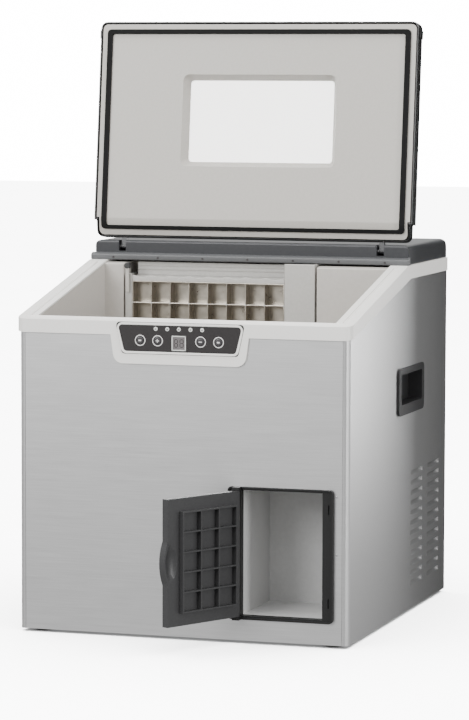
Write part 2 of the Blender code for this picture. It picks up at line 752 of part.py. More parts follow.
def top_trim(machine):
    """The pale rim: sloping top plate, skirt outside the panels, and the bib that holds the controls."""
    outer = rectangle(
        -HALF - RIM_PROUD, HALF + RIM_PROUD, -RIM_PROUD, DEPTH + RIM_PROUD, RIM_CORNER
    )
    shape = cut(prism(outer, "Z", 0, HEIGHT + RIM_BAND), above(rim_line(0)), below(band_line(0)))
    inner = rounded(rectangle(-HALF - CLEAR, HALF + CLEAR, -CLEAR, DEPTH + CLEAR), [CORNER, CORNER, 0, 0])
    hollow = cut(prism(inner, "Z", 0, HEIGHT + RIM_BAND), above(rim_line(RIM_PLATE)))
    mouth = rectangle(-OPEN_HALF, OPEN_HALF, OPEN_FRONT, LINER_REAR - LINER, 3 * MM)
    shape = cut(shape, hollow, prism(mouth, "Z", 0, HEIGHT + RIM_BAND))
    low = RIM_FRONT - BIB_LOW
    high = RIM_FRONT - RIM_PLATE
    bib_corners = [
        (CONTROL_X - BIB_BOTTOM / 2, low),
        (CONTROL_X + BIB_BOTTOM / 2, low),
        (CONTROL_X + BIB_TOP / 2, high),
        (CONTROL_X - BIB_TOP / 2, high),
    ]
    bib = prism(rounded(bib_corners, [BIB_ROUND, BIB_ROUND, 0, 0], 6), "Y", -RIM_PROUD, -CLEAR)
    ridge = prism(overlay_outline(SURROUND_RIDGE), "Y", CONTROL_FACE - RIDGE_PROUD, -CLEAR)
    shape = joined(shape, bib, ridge)
    seat = prism(overlay_outline(CLEAR), "Y", -2 * RIM_PROUD, CONTROL_FACE + OVERLAY_THICK - RIDGE_PROUD / 2)
    shape = cut(shape, seat, control_holes(-2 * RIM_PROUD, 2 * RIM_PROUD))
    node("top_trim", joined(shape, rim_bead()), "rim_white", machine)


def rim_bead():
    """A low ridge along both sides and the front of the opening, which the lid's gasket meets."""
    half = HALF - BEAD_SIDE + BEAD_WIDTH / 2
    rear = KINK - 3 * MM
    front = BEAD_FRONT - BEAD_WIDTH / 2
    outer = prism(rectangle(-half, half, front, rear + RIM_BAND, 4 * MM), "Z", 0, HEIGHT + RIM_BAND)
    half -= BEAD_WIDTH
    inner = rectangle(-half, half, front + BEAD_WIDTH, rear + 2 * RIM_BAND, 4 * MM)
    ring = cut(outer, prism(inner, "Z", -SHEET, HEIGHT + 2 * RIM_BAND))
    tail = block(-HALF, HALF, rear, DEPTH, -SHEET, HEIGHT + 2 * RIM_BAND)
    return cut(ring, tail, above(rim_line(-BEAD_HEIGHT)), below(rim_line(RIM_PLATE / 2)))


def controls(machine):
    face = CONTROL_FACE + OVERLAY_THICK - RIDGE_PROUD / 2 - CLEAR
    front = face - OVERLAY_THICK
    overlay = cut(prism(overlay_outline(0), "Y", front, face), control_holes(front - MM, face + MM))
    node("control_overlay", overlay, "overlay", machine)
    for name, (x, z) in zip(BUTTON_NAMES, button_places()):
        back = BOARD_SETBACK - CLEAR - BUTTON_TRAVEL
        flange = CLEAR
        profile = [
            (0, front - BUTTON_PROUD),
            (BUTTON_RADIUS * 0.75, front - BUTTON_PROUD),
            (BUTTON_RADIUS, front - BUTTON_PROUD * 0.6),
            (BUTTON_RADIUS, flange),
            (BUTTON_RADIUS + BUTTON_FLANGE, flange),
            (BUTTON_RADIUS + BUTTON_FLANGE, flange + BUTTON_FLANGE),
            (BUTTON_RADIUS * 0.5, flange + BUTTON_FLANGE),
            (BUTTON_RADIUS * 0.5, back),
            (0, back),
        ]
        node(name, turned(profile, "Y", (0, 0, 0), 20), "button", machine, (x, 0, z), smooth=True)
    for i, (x, z) in enumerate(light_places()):
        profile = [(0, front - 0.4 * MM), (LIGHT_RADIUS, front), (LIGHT_RADIUS, CLEAR), (0, CLEAR)]
        shape = turned(profile, "Y", (0, 0, 0), FINE_SIDES)
        node(f"indicator_light_{i + 1}", shape, "light", machine, (x, 0, z), smooth=True)
    half = DISPLAY_SIDE / 2
    z = RIM_FRONT - DISPLAY_DROP
    depth = BOARD_SETBACK - CLEAR
    display = block(CONTROL_X - half, CONTROL_X + half, front - 0.3 * MM, depth, z - half, z + half)
    node("display_window", display, "display", machine)
    control_board(machine)


def board_outline():
    half = OVERLAY_BOTTOM / 2 + BOARD_BORDER
    top = RIM_FRONT - RIM_BAND + PANEL_LAP
    return CONTROL_X - half, CONTROL_X + half, RIM_FRONT - OVERLAY_HIGH - OVERLAY_TALL - BOARD_BORDER, top


def control_board(machine):
    """The board behind the controls, standing off the front panel on four posts."""
    x0, x1, z0, z1 = board_outline()
    shape = block(x0, x1, BOARD_SETBACK, BOARD_SETBACK + BOARD_THICK, z0, z1)
    inset = BOARD_BORDER / 2
    posts = []
    for x in (x0 + inset, x1 - inset):
        for z in (z0 + inset, z1 - 2 * inset):
            posts.append(rod(2 * MM, "Y", SHEET + CLEAR, BOARD_SETBACK + SHEET, (x, 0, z), FINE_SIDES))
    node("control_board", joined(shape, *posts), "board", machine)


# --- bin --------------------------------------------------------------------------------------


def bin_liner(machine):
    """The tub for whole cubes, with a throat in its floor above the crusher."""
    side = OPEN_HALF + LINER
    shape = block(-side, side, OPEN_FRONT - LINER, LINER_REAR, BIN_UNDER, HEIGHT)
    inside = block(-OPEN_HALF, OPEN_HALF, OPEN_FRONT, LINER_REAR - LINER, BIN_FLOOR, 2 * HEIGHT)
    shape = joined(cut(shape, inside), *bin_ledges())
    shape = cut(shape, above(rim_line(RIM_PLATE + CLEAR)))
    x0, x1, y0, y1 = THROAT
    wall = THROAT_WALL
    throat = block(x0 - wall, x1 + wall, y0 - wall, y1 + wall, FOAM_LOW, BIN_UNDER + LINER / 2)
    hole = block(x0, x1, y0, y1, FOAM_LOW - LINER, BIN_FLOOR + LINER)
    node("bin_liner", cut(joined(shape, throat), hole), "liner_grey", machine)


def bin_ledges():
    """The tub's steps either side of the evaporator."""
    gap = POST / 3
    left = EVAP_X0 - POST - gap, -OPEN_HALF - LINER / 2
    right = EVAP_X1 + SIDE_PANEL + gap, OPEN_HALF + LINER / 2
    rear = LINER_REAR - LINER / 2
    ledges = []
    for x0, x1 in (sorted(left), right):
        ledges.append(block(x0, x1, EVAP_Y0, rear, BIN_FLOOR - LINER / 2, HEIGHT))
    return ledges


def bin_insulation(machine):
    """Foam between the tub and the cabinet."""
    side = HALF - SHEET - CLEAR
    shape = block(-side, side, SHEET + CLEAR, BAY_FRONT, FOAM_LOW, HEIGHT)
    room = OPEN_HALF + LINER + CLEAR
    tub = block(-room, room, OPEN_FRONT - LINER - CLEAR, LINER_REAR + CLEAR, BIN_UNDER - CLEAR, 2 * HEIGHT)
    x0, x1, y0, y1 = THROAT
    wall = THROAT_WALL + CLEAR
    throat = block(x0 - wall, x1 + wall, y0 - wall, y1 + wall, FOAM_LOW - MM, BIN_UNDER + MM)
    x0, x1, z0, _ = board_outline()
    board = block(
        x0 - MM, x1 + MM, 0, BOARD_SETBACK + BOARD_THICK + CLEAR, z0 - MM, 2 * HEIGHT
    )
    shape = cut(shape, tub, throat, board, above(band_line(-CLEAR)))
    for x in (-1, 1):
        inner = HALF - HANDLE_DEPTH - HANDLE_WALL - CLEAR
        low, high = sorted((x * inner, x * HALF))
        shape = cut(shape, handle_hole(2 * CLEAR, low, high))
    corners = [round_corner_room(x) for x in (-1, 1)]
    node("bin_insulation", cut(shape, *corners), "foam", machine)


def round_corner_room(side):
    """What the rounded cabinet corner takes from a square foam edge."""
    x = sorted((side * (HALF - CORNER - SHEET), side * HALF))
    return block(x[0], x[1], 0, CORNER, 0, HEIGHT)


def evaporator(machine):
    """Cell grid, the tube behind it, its white surround and the water trough on top."""
    shape = block(EVAP_X0, EVAP_X1, EVAP_Y0, EVAP_Y1, EVAP_LOW, EVAP_TOP)
    cells = []
    for column in range(CELL_COLUMNS):
        for row in range(CELL_ROWS):
            x = EVAP_X0 + CELL_WALL + column * CELL
            z = EVAP_LOW + CELL_WALL + row * CELL_TALL
            wide, tall = CELL - CELL_WALL, CELL_TALL - CELL_WALL
            cells.append(block(x, x + wide, EVAP_Y0 - MM, EVAP_Y0 + CELL_DEEP, z, z + tall))
    node("evaporator_grid", cut(shape, gathered(cells)), "plated", machine)
    evaporator_tube(machine)
    surround = SURROUND_THICK
    x0, x1 = EVAP_X0 - CLEAR - POST, EVAP_X1 + CLEAR + SIDE_PANEL
    y0, y1 = EVAP_Y0 - MM, LINER_REAR - LINER - CLEAR
    low, high = EVAP_LOW - 8 * MM, EVAP_TOP + TROUGH_LIP + 2 * MM
    frame = block(x0, x1, y0, y1, low, high)
    top = HEIGHT - CLEAR
    panel = block(EVAP_X1 + CLEAR, x1, y0, y1, low, top)
    frame = joined(frame, panel)
    behind = block(x0 + surround, x1 - surround, y0 + surround, y1 + MM, low - MM, top + MM)
    room = block(EVAP_X0 - CLEAR, EVAP_X1 + CLEAR, y0 - MM, y1, EVAP_LOW - CLEAR, top + MM)
    node("evaporator_surround", cut(frame, behind, room), "white_plastic", machine)
    water_distributor(machine)


def evaporator_tube(machine):
    """Refrigerant tube that runs back and forth behind the cells."""
    y = EVAP_Y1 + CLEAR + TUBE_RADIUS
    left, right = EVAP_X0 + 20 * MM, EVAP_X1 - 20 * MM
    bend = CELL_TALL / 2
    points = []
    for row in range(CELL_ROWS):
        z = EVAP_TOP - CELL_TALL * (row + 0.5)
        start, end = (left, right) if row % 2 == 0 else (right, left)
        out = 1 if end > start else -1
        points += [(start, y, z), (end, y, z)]
        if row + 1 < CELL_ROWS:
            for step in range(1, 5):
                turn = pi * step / 5
                points.append((end + out * bend * sin(turn), y, z - bend * (1 - cos(turn))))
    curve = bpy.data.curves.new("evaporator_tube", "CURVE")
    curve.dimensions = "3D"
    curve.bevel_depth = TUBE_RADIUS
    curve.bevel_resolution = 1
    curve.use_fill_caps = True
    line = curve.splines.new("POLY")
    line.points.add(len(points) - 1)
    for point, place_ in zip(line.points, points):
        point.co = (*place_, 1)
    curve.materials.append(finish("copper"))
    tube = bpy.data.objects.new("evaporator_tube", curve)
    bpy.context.scene.collection.objects.link(tube)
    tube.parent = machine


def water_distributor(machine):
    """Trough that spreads water over the cells, with a scalloped front lip."""
    x0, x1 = EVAP_X0, EVAP_X1
    low = EVAP_TOP + CLEAR
    back = EVAP_Y1 + CLEAR + 2 * TUBE_RADIUS
    wall = 3 * MM
    high = HEIGHT - RIM_PLATE
    outline = [
        (EVAP_Y0, low),
        (back, low),
        (back, high),
        (back - wall, high),
        (back - wall, low + TROUGH_LIP),
        (EVAP_Y0 + wall, low + wall),
        (EVAP_Y0 + wall, low + TROUGH_LIP),
        (EVAP_Y0, low + TROUGH_LIP),
    ]
    shape = prism(outline, "X", x0, x1)
    pitch = (x1 - x0) / SCALLOPS
    dips = []
    for i in range(SCALLOPS):
        middle = (x0 + (i + 0.5) * pitch, 0, low + TROUGH_LIP + pitch * 0.8)
        dips.append(rod(pitch * 0.9, "Y", EVAP_Y0 - MM, EVAP_Y0 + wall + 0.5 * MM, middle, 24))
    for i in range(2):
        z = low + TROUGH_LIP + (i + 1) * 5 * MM
        dips.append(block(x0 - MM, x1 + MM, back - wall - MM, back - wall + 0.8 * MM, z, z + 1.2 * MM))
    node("water_distributor", cut(shape, *dips), "white_plastic", machine)


def tank_and_pump(machine):
    side = HALF - SHEET - TANK_GAP
    right = MOUTH_X0 - BOX_WALL - TANK_GAP
    front, rear = SHEET + TANK_GAP, BAY_FRONT - TANK_GAP
    shape = block(-side, right, front, rear, PAN_TOP, PAN_TOP + TANK_TALL)
    wall = TANK_WALL
    inside = block(
        -side + wall, right - wall, front + wall, rear - wall, PAN_TOP + wall, PAN_TOP + 2 * TANK_TALL
    )
    node("water_tank", cut(shape, inside), "tank", machine)
    middle = (-side + wall + 2 * PUMP_RADIUS, front + wall + 2 * PUMP_RADIUS)
    low = PAN_TOP + wall + CLEAR
    profile = [
        (0, 0),
        (PUMP_RADIUS * 1.2, 0),
        (PUMP_RADIUS * 1.2, 12 * MM),
        (PUMP_RADIUS, 15 * MM),
        (PUMP_RADIUS, PUMP_TALL - 4 * MM),
        (PUMP_RADIUS - 4 * MM, PUMP_TALL),
        (5 * MM, PUMP_TALL),
        (5 * MM, PUMP_TALL + 14 * MM),
        (0, PUMP_TALL + 14 * MM),
    ]
    pump = turned(profile, "Z", (0, 0, 0), 20)
    node("water_pump", pump, "black_paint", machine, (*middle, low), smooth=True)


# --- crushed ice ------------------------------------------------------------------------------


def crushed_ice_box(machine):
    """White box behind the door, open at the front and under the crusher."""
    wall = BOX_WALL
    front = SLEEVE + CLEAR
    shape = block(
        MOUTH_X0 - wall, MOUTH_X1 + wall, front, BOX_DEPTH + wall, MOUTH_Z0 - wall, BOX_TOP
    )
    inside = block(MOUTH_X0, MOUTH_X1, 0, BOX_DEPTH, MOUTH_Z0, MOUTH_Z1)
    x0, x1, y0, y1 = THROAT
    drop = block(x0, x1, y0, y1, MOUTH_Z1 - MM, BOX_TOP + MM)
    leg = 12 * MM
    legs = []
    for x in (MOUTH_X0, MOUTH_X1 - leg):
        y = BOX_DEPTH - leg
        legs.append(block(x, x + leg, y, y + leg, PAN_TOP, MOUTH_Z0 - wall / 2))
    node("crushed_ice_box", joined(cut(shape, inside, drop), *legs), "white_plastic", machine)


def door_frame(machine):
    """Dark frame in the front panel: lip, recessed stiles, latch slots, hinge lugs and sleeve."""
    lip = prism(
        rectangle(FRAME_X0, FRAME_X1, FRAME_Z0, FRAME_Z1, FRAME_ROUND), "Y", -FRAME_PROUD, -CLEAR
    )
    edge = FRAME_LIP
    step = prism(
        rectangle(
            FRAME_X0 + edge, FRAME_X1 - edge, FRAME_Z0 + edge, FRAME_Z1 - edge, FRAME_ROUND - edge
        ),
        "Y",
        -2 * FRAME_PROUD,
        -FRAME_PROUD + FRAME_STEP,
    )
    shape = cut(lip, step)
    wall = BOX_WALL - CLEAR
    sleeve = block(
        MOUTH_X0 - wall, MOUTH_X1 + wall, -FRAME_PROUD + FRAME_STEP + MM, SLEEVE, MOUTH_Z0 - wall, MOUTH_Z1 + wall
    )
    lug_half = DOOR_THICK / 2
    lugs = []
    for z0, z1 in ((FRAME_Z0, FRAME_Z0 + BAR), (FRAME_Z1 - BAR, FRAME_Z1)):
        lugs.append(
            block(HINGE_X - lug_half, HINGE_X + lug_half, HINGE_Y - lug_half + MM, -MM, z0, z1)
        )
    shape = joined(shape, sleeve, *lugs)
    mouth = block(MOUTH_X0, MOUTH_X1, -4 * FRAME_PROUD, 2 * SLEEVE, MOUTH_Z0, MOUTH_Z1)
    pin = rod(PIN_RADIUS + CLEAR, "Z", FRAME_Z0 + BAR / 3, FRAME_Z1 - BAR / 3, (HINGE_X, HINGE_Y, 0), FINE_SIDES)
    slots = []
    for z in (FRAME_Z0 + 0.15 * FRAME_HEIGHT, FRAME_Z1 - 0.15 * FRAME_HEIGHT):
        x = FRAME_X1 - STILE_RIGHT / 2
        slots.append(
            block(x, x + 2 * MM, -FRAME_PROUD, MM, z - LATCH_SLOT / 2, z + LATCH_SLOT / 2)
        )
    node("door_frame", cut(shape, mouth, pin, *slots), "door_grey", machine)


def door_rib_lines():
    """Where the ribs inside the door stand: distances from the hinge, and heights."""
    x0 = MOUTH_X0 - HINGE_X + DOOR_RIB_INSET - 4 * MM
    x1 = MOUTH_X1 - HINGE_X - 9 * MM
    z0, z1 = DOOR_Z0 + DOOR_RIB_GRIP, DOOR_Z1 - DOOR_RIB_GRIP
    across = [x0 + (x1 - x0) * i / DOOR_RIB_COLUMNS for i in range(DOOR_RIB_COLUMNS + 1)]
    upward = [z0 + (z1 - z0) * i / DOOR_RIB_ROWS for i in range(DOOR_RIB_ROWS + 1)]
    return across, upward


def ice_door(machine):
    """The door round its hinge line, shaped shut along +x and then swung open."""
    half = DOOR_THICK / 2
    barrel = [(half * cos(t), half * sin(t)) for t in (pi / 2 + pi * i / 10 for i in range(11))]
    slab = prism(barrel + [(DOOR_LENGTH, -half), (DOOR_LENGTH, half)], "Z", DOOR_Z0, DOOR_Z1)
    middle = (DOOR_Z0 + DOOR_Z1) / 2
    chord, rise = GRIP_LENGTH / 2, GRIP_PROUD
    radius = (chord**2 + rise**2) / (2 * rise)
    sweep = atan2(chord, radius - rise)
    steps = 10
    turns = [sweep * (2 * i / steps - 1) for i in range(steps + 1)]
    bulge = [(DOOR_LENGTH + rise - radius + radius * cos(t), middle + radius * sin(t)) for t in turns]
    bulge += [(DOOR_LENGTH - 3 * MM, middle + chord), (DOOR_LENGTH - 3 * MM, middle - chord)]
    grip = prism(bulge, "Y", -half, half)
    dish = turned(
        [(0, -1), (0.55, -0.8), (0.87, -0.45), (1, 0), (0, 0)], "Y", (0, 0, 0), 20
    )
    bmesh.ops.scale(dish, vec=(GRIP_SCOOP / 2, 2 * GRIP_DIP, GRIP_LENGTH * 0.48), verts=dish.verts)
    dish = moved(dish, (DOOR_LENGTH + GRIP_PROUD - GRIP_SCOOP / 2, half + GRIP_DIP, middle))
    across, upward = door_rib_lines()
    width = DOOR_RIB_WIDTH / 2
    ribs = [
        block(x - width, x + width, half - MM, half + DOOR_RIB, upward[0] - width, upward[-1] + width)
        for x in across
    ]
    ribs += [
        block(across[0] - width, across[-1] + width, half - MM, half + DOOR_RIB, z - width, z + width)
        for z in upward
    ]
    bore = rod(PIN_RADIUS + CLEAR, "Z", 0, 2 * DOOR_Z1, (0, 0, 0), FINE_SIDES)
    shape = cut(joined(slab, grip, *ribs), dish, bore)
    origin = (HINGE_X, HINGE_Y, 0)
    door = node("ice_door", shape, "door_grey", machine, origin)
    door.rotation_euler = (0, 0, -DOOR_OPEN)
    reach = BAR / 3 + CLEAR
    pin = rod(PIN_RADIUS, "Z", FRAME_Z0 + reach, FRAME_Z1 - reach, (0, 0, 0), FINE_SIDES)
    node("door_hinge_pin", pin, "steel", machine, origin, smooth=True)


def crusher(machine):
    """Blades on a shaft that turns in an open box, a fixed comb and the gear motor."""
    x0, x1 = CRUSHER_X0, CRUSHER_X1
    y0, y1 = CRUSHER_FRONT, CRUSHER_FRONT + CRUSHER_DEEP
    wall = CRUSHER_WALL
    shape = block(x0, x1, y0, y1, CRUSHER_LOW, CRUSHER_TOP)
    inside = block(x0 + wall, x1 - wall, y0 + wall, y1 - wall, CRUSHER_LOW - wall, CRUSHER_TOP + wall)
    bore = rod(SHAFT_RADIUS + CLEAR, "X", x0 - wall, x1 + wall, (0, SHAFT_Y, SHAFT_Z), FINE_SIDES)
    node("crusher_housing", cut(shape, inside, bore), "white_plastic", machine)
    pitch = (x1 - x0 - 2 * wall) / BLADE_COUNT
    discs = [x0 + wall + pitch * (i + 0.5) for i in range(BLADE_COUNT)]
    rotor = rod(SHAFT_RADIUS, "X", x0 - SHAFT_GRIP, x1 - CLEAR, (0, 0, 0), FINE_SIDES)
    star = []
    for i in range(12):
        radius = BLADE_RADIUS if i % 3 == 0 else BLADE_RADIUS * 0.5
        star.append((radius * cos(2 * pi * i / 12), radius * sin(2 * pi * i / 12)))
    for x in discs:
        rotor = joined(rotor, prism(star, "X", x - BLADE_THICK / 2, x + BLADE_THICK / 2))
    rotor = moved(rotor, (-x0, 0, 0))
    node("crusher_rotor", rotor, "steel", machine, (x0, SHAFT_Y, SHAFT_Z))
    comb_y = y1 - wall - CLEAR
    tall = COMB_BAR / 2
    comb = block(
        x0 + wall + CLEAR, x1 - wall - CLEAR, comb_y - COMB_BAR, comb_y, SHAFT_Z - tall, SHAFT_Z + tall
    )
    tip = SHAFT_Y + SHAFT_RADIUS + 3 * MM
    thick = BLADE_THICK / 2
    for left, right in zip(discs, discs[1:]):
        x = (left + right) / 2
        comb = joined(
            comb, block(x - thick, x + thick, tip, comb_y - MM, SHAFT_Z - tall, SHAFT_Z + tall)
        )
    node("crusher_comb", comb, "steel", machine)
    half = GEARBOX / 2
    tall = GEARBOX_TALL / 2
    gearbox = block(x0 - CLEAR - GEARBOX, x0 - CLEAR, SHAFT_Y - half, SHAFT_Y + half, SHAFT_Z - tall, SHAFT_Z + tall)
    left = x0 - GEARBOX - MOTOR_LENGTH
    can = rod(MOTOR_RADIUS, "X", left, x0 - GEARBOX / 2, (0, SHAFT_Y, SHAFT_Z))
    socket = rod(
        SHAFT_RADIUS + CLEAR, "X", x0 - SHAFT_GRIP - CLEAR, x0 + MM, (0, SHAFT_Y, SHAFT_Z), FINE_SIDES
    )
    node("crusher_motor", cut(joined(gearbox, can), socket), "black_paint", machine)


# --- cooling bay ------------------------------------------------------------------------------


def cooling(machine):
    radius, tall = BAY_DEPTH / 2 - COMPRESSOR_GAP - COMPRESSOR_FOOT, COMPRESSOR_TALL
    profile = [
        (0, 0),
        (radius + COMPRESSOR_FOOT, 0),
        (radius + COMPRESSOR_FOOT, 3 * MM),
        (radius - 2 * MM, 6 * MM),
        (radius, 14 * MM),
        (radius, tall - 34 * MM),
        (radius - 5 * MM, tall - 18 * MM),
        (radius - 20 * MM, tall - 5 * MM),
        (radius * 0.4, tall),
        (0, tall),
    ]
    x = INLET_X + COMPRESSOR_SHIFT
    y = (BAY_FRONT + DEPTH - SHEET) / 2
    node("compressor", turned(profile, "Z", (0, 0, 0)), "black_paint", machine, (x, y, PAN_TOP), smooth=True)
    y0, y1 = FAN_Y - CONDENSER_WIDE / 2, FAN_Y + CONDENSER_WIDE / 2
    top = PAN_TOP + CONDENSER_TALL
    shape = block(CONDENSER_X0, CONDENSER_X1, y0, y1, PAN_TOP, top)
    gaps = []
    for i in range(int(CONDENSER_TALL / FIN_PITCH)):
        z = PAN_TOP + i * FIN_PITCH + FIN_GAP
        gaps.append(block(CONDENSER_X0 + 4 * MM, HALF, y0 - MM, y1 + MM, z, z + FIN_GAP))
    node("condenser", cut(shape, gathered(gaps)), "aluminium", machine)
    centre = (0, FAN_Y, FAN_Z)
    shroud = block(SHROUD_X0, SHROUD_X0 + SHROUD_THICK, y0, y1, PAN_TOP, top)
    hole = rod(FAN_RADIUS + 3 * MM, "X", SHROUD_X0 - MM, CONDENSER_X0, centre)
    node("fan_shroud", cut(shroud, hole), "galvanised", machine)
    fan(machine, centre)


def fan(machine, centre):
    """Motor on an upright bracket, and the fan on its shaft."""
    motor_x1 = FAN_X0 - 4 * MM
    motor_x0 = motor_x1 - FAN_MOTOR_LENGTH
    tip = FAN_X1 - 4 * MM
    motor = joined(
        rod(FAN_MOTOR_RADIUS, "X", motor_x0, motor_x1, centre),
        rod(FAN_SHAFT, "X", motor_x1 - MM, tip, centre, FINE_SIDES),
    )
    node("fan_motor", motor, "black_paint", machine, smooth=True)
    low, high = motor_x0 + BRACKET, motor_x0 + 2 * BRACKET
    ring = rod(FAN_MOTOR_RADIUS + BRACKET, "X", low, high, centre)
    leg = block(low, high, FAN_Y - 2 * BRACKET, FAN_Y + 2 * BRACKET, PAN_TOP, FAN_Z)
    foot = block(low - 2 * BRACKET, high, FAN_Y - 3 * BRACKET, FAN_Y + 3 * BRACKET, PAN_TOP, PAN_TOP + 2 * MM)
    bore = rod(FAN_MOTOR_RADIUS + CLEAR, "X", low - MM, high + MM, centre)
    node("fan_bracket", cut(joined(ring, leg, foot), bore), "galvanised", machine)
    wheel = rod(FAN_HUB, "X", 0, FAN_DEEP, (0, 0, 0))
    for i in range(FAN_BLADES):
        blade = block(-1 * MM, 1 * MM, -11 * MM, 11 * MM, FAN_HUB - 4 * MM, FAN_RADIUS)
        blade = moved(blade, (0, 0, 0), Matrix.Rotation(FAN_PITCH, 4, "Z"))
        blade = moved(blade, (FAN_DEEP / 2, 0, 0), Matrix.Rotation(2 * pi * i / FAN_BLADES, 4, "X"))
        wheel = joined(wheel, blade)
    bore = rod(FAN_SHAFT + CLEAR, "X", -MM, tip - FAN_X0 + CLEAR, (0, 0, 0), FINE_SIDES)
    node("fan_blade", cut(wheel, bore), "white_plastic", machine, (FAN_X0, FAN_Y, FAN_Z))


# --- rear cover and lid -----------------------------------------------------------------------


def rear_cover(machine):
    """Dark cover behind the lid, with two notches in its front edge for the hinge arms."""
    half = HALF - COVER_SIDE
    y0, y1 = KINK + COVER_SETBACK, DEPTH - MM
    z0, z1 = HEIGHT + CLEAR, HEIGHT + COVER_TALL

    def body(inset):
        side, front, rear, top = half - inset, y0 + inset, y1 - inset, z1 - inset
        low = z0 - (MM if inset else 0)
        corners = [(-side, low), (side, low), (side, top), (-side, top)]
        across = rounded(corners, [0, 0, COVER_ROUND - inset, COVER_ROUND - inset])
        corners = [(front, low), (rear, low), (rear, top), (front, top)]
        along = rounded(corners, [0, 0, COVER_REAR_ROUND - inset, COVER_FRONT_ROUND - inset], 6)
        return shared(prism(across, "Y", front, rear), prism(along, "X", -HALF, HALF))

    shape = cut(body(0), body(COVER_WALL))
    notch_half = ARM_WIDTH / 2 + NOTCH_SIDE
    notch_low = HEIGHT + RAIL_TALL + 2 * MM
    for x in (-ARM_X, ARM_X):
        ears = block(
            x - notch_half - EAR, x + notch_half + EAR, y0 + MM, PIVOT[1] + 4 * MM, notch_low - 2 * MM, z1 - MM
        )
        notch = block(
            x - notch_half, x + notch_half, y0 - MM, PIVOT[1] + NOTCH_BACK, notch_low, z1 + MM
        )
        bore = rod(
            PIN_RADIUS + CLEAR, "X", x - notch_half - EAR - MM, x + notch_half + EAR + MM, (0, PIVOT[1], PIVOT[2]), FINE_SIDES
        )
        shape = cut(joined(shape, ears), notch, bore)
    node("rear_top_cover", shape, "cover_dark", machine)
    rail_y = KINK + RAIL_SETBACK
    foot, top = HEIGHT + CLEAR, HEIGHT + RAIL_TALL
    outline = [
        (rail_y, foot),
        (y0 - CLEAR, foot),
        (y0 - CLEAR, top),
        (rail_y + RAIL_BEVEL, top),
        (rail_y, top - RAIL_BEVEL / 2),
    ]
    rail = prism(outline, "X", -HALF - RIM_PROUD, HALF + RIM_PROUD)
    node("cover_front_rail", rail, "cover_dark", machine)


def lid_surface(depth):
    """Side view of the lid's inner face in the lid's own frame, from the hinge end to the front."""
    front = -LID_DEEP + depth
    drop = (LID_BEND - LID_END) * tan(RIM_SLOPE)
    far = lid_front()
    return [(front + drop * 2, LID_END - (LID_BEND - LID_END)), (front, LID_BEND), (front, far + 10 * MM)]


def lid_front():
    """Distance from the pivot to the lid's free edge."""
    along = (PIVOT[1] + RIM_PROUD + LID_FRONT_LAP) / cos(RIM_SLOPE)
    return along - (LID_DEEP + 4 * MM) * tan(RIM_SLOPE)


def lid_slab(inset, y0, y1, grow_in=0.0):
    """The lid's outline less an inset, between two depths, in the lid's own frame."""
    half = HALF + LID_HALF - inset
    far = lid_front() - inset
    corner = max(LID_CORNER - inset, MM)
    wide = rectangle(-half, half, LID_BEND - 2 * LID_CORNER, far, corner)
    narrow = rectangle(-half + LID_END_NARROW, half - LID_END_NARROW, LID_END + inset, LID_BEND + 2 * LID_CORNER, corner)
    main = cut(prism(wide, "Y", y0, y1), block(-WIDTH, WIDTH, y0 - MM, y1 + MM, 0, LID_BEND + inset))
    return joined(main, prism(narrow, "Y", y0, y1))


def lid_front_of(depth, shape):
    """Cuts away what stands in front of the inner face, which bends near the hinge."""
    line = lid_surface(depth)
    outline = line + [(-0.1, line[-1][1]), (-0.1, line[0][1])]
    return cut(shape, prism(outline, "X", -WIDTH, WIDTH))


def window_outline(grow):
    return rectangle(
        WINDOW_X - WINDOW_WIDE / 2 - grow,
        WINDOW_X + WINDOW_WIDE / 2 + grow,
        WINDOW_LOW - grow,
        WINDOW_LOW + WINDOW_TALL + grow,
        WINDOW_ROUND + grow / 2,
    )


def flared(y0, y1, grow0, grow1):
    """The window's opening, widening from one depth to another."""
    shape = bmesh.new()
    rings = []
    for y, grow in ((y0, grow0), (y1, grow1)):
        rings.append([shape.verts.new((x, y, z)) for x, z in window_outline(grow)])
        shape.faces.new(rings[-1])
    for i in range(len(rings[0])):
        j = (i + 1) % len(rings[0])
        shape.faces.new((rings[0][i], rings[0][j], rings[1][j], rings[1][i]))
    bmesh.ops.recalc_face_normals(shape, faces=shape.faces)
    return shape


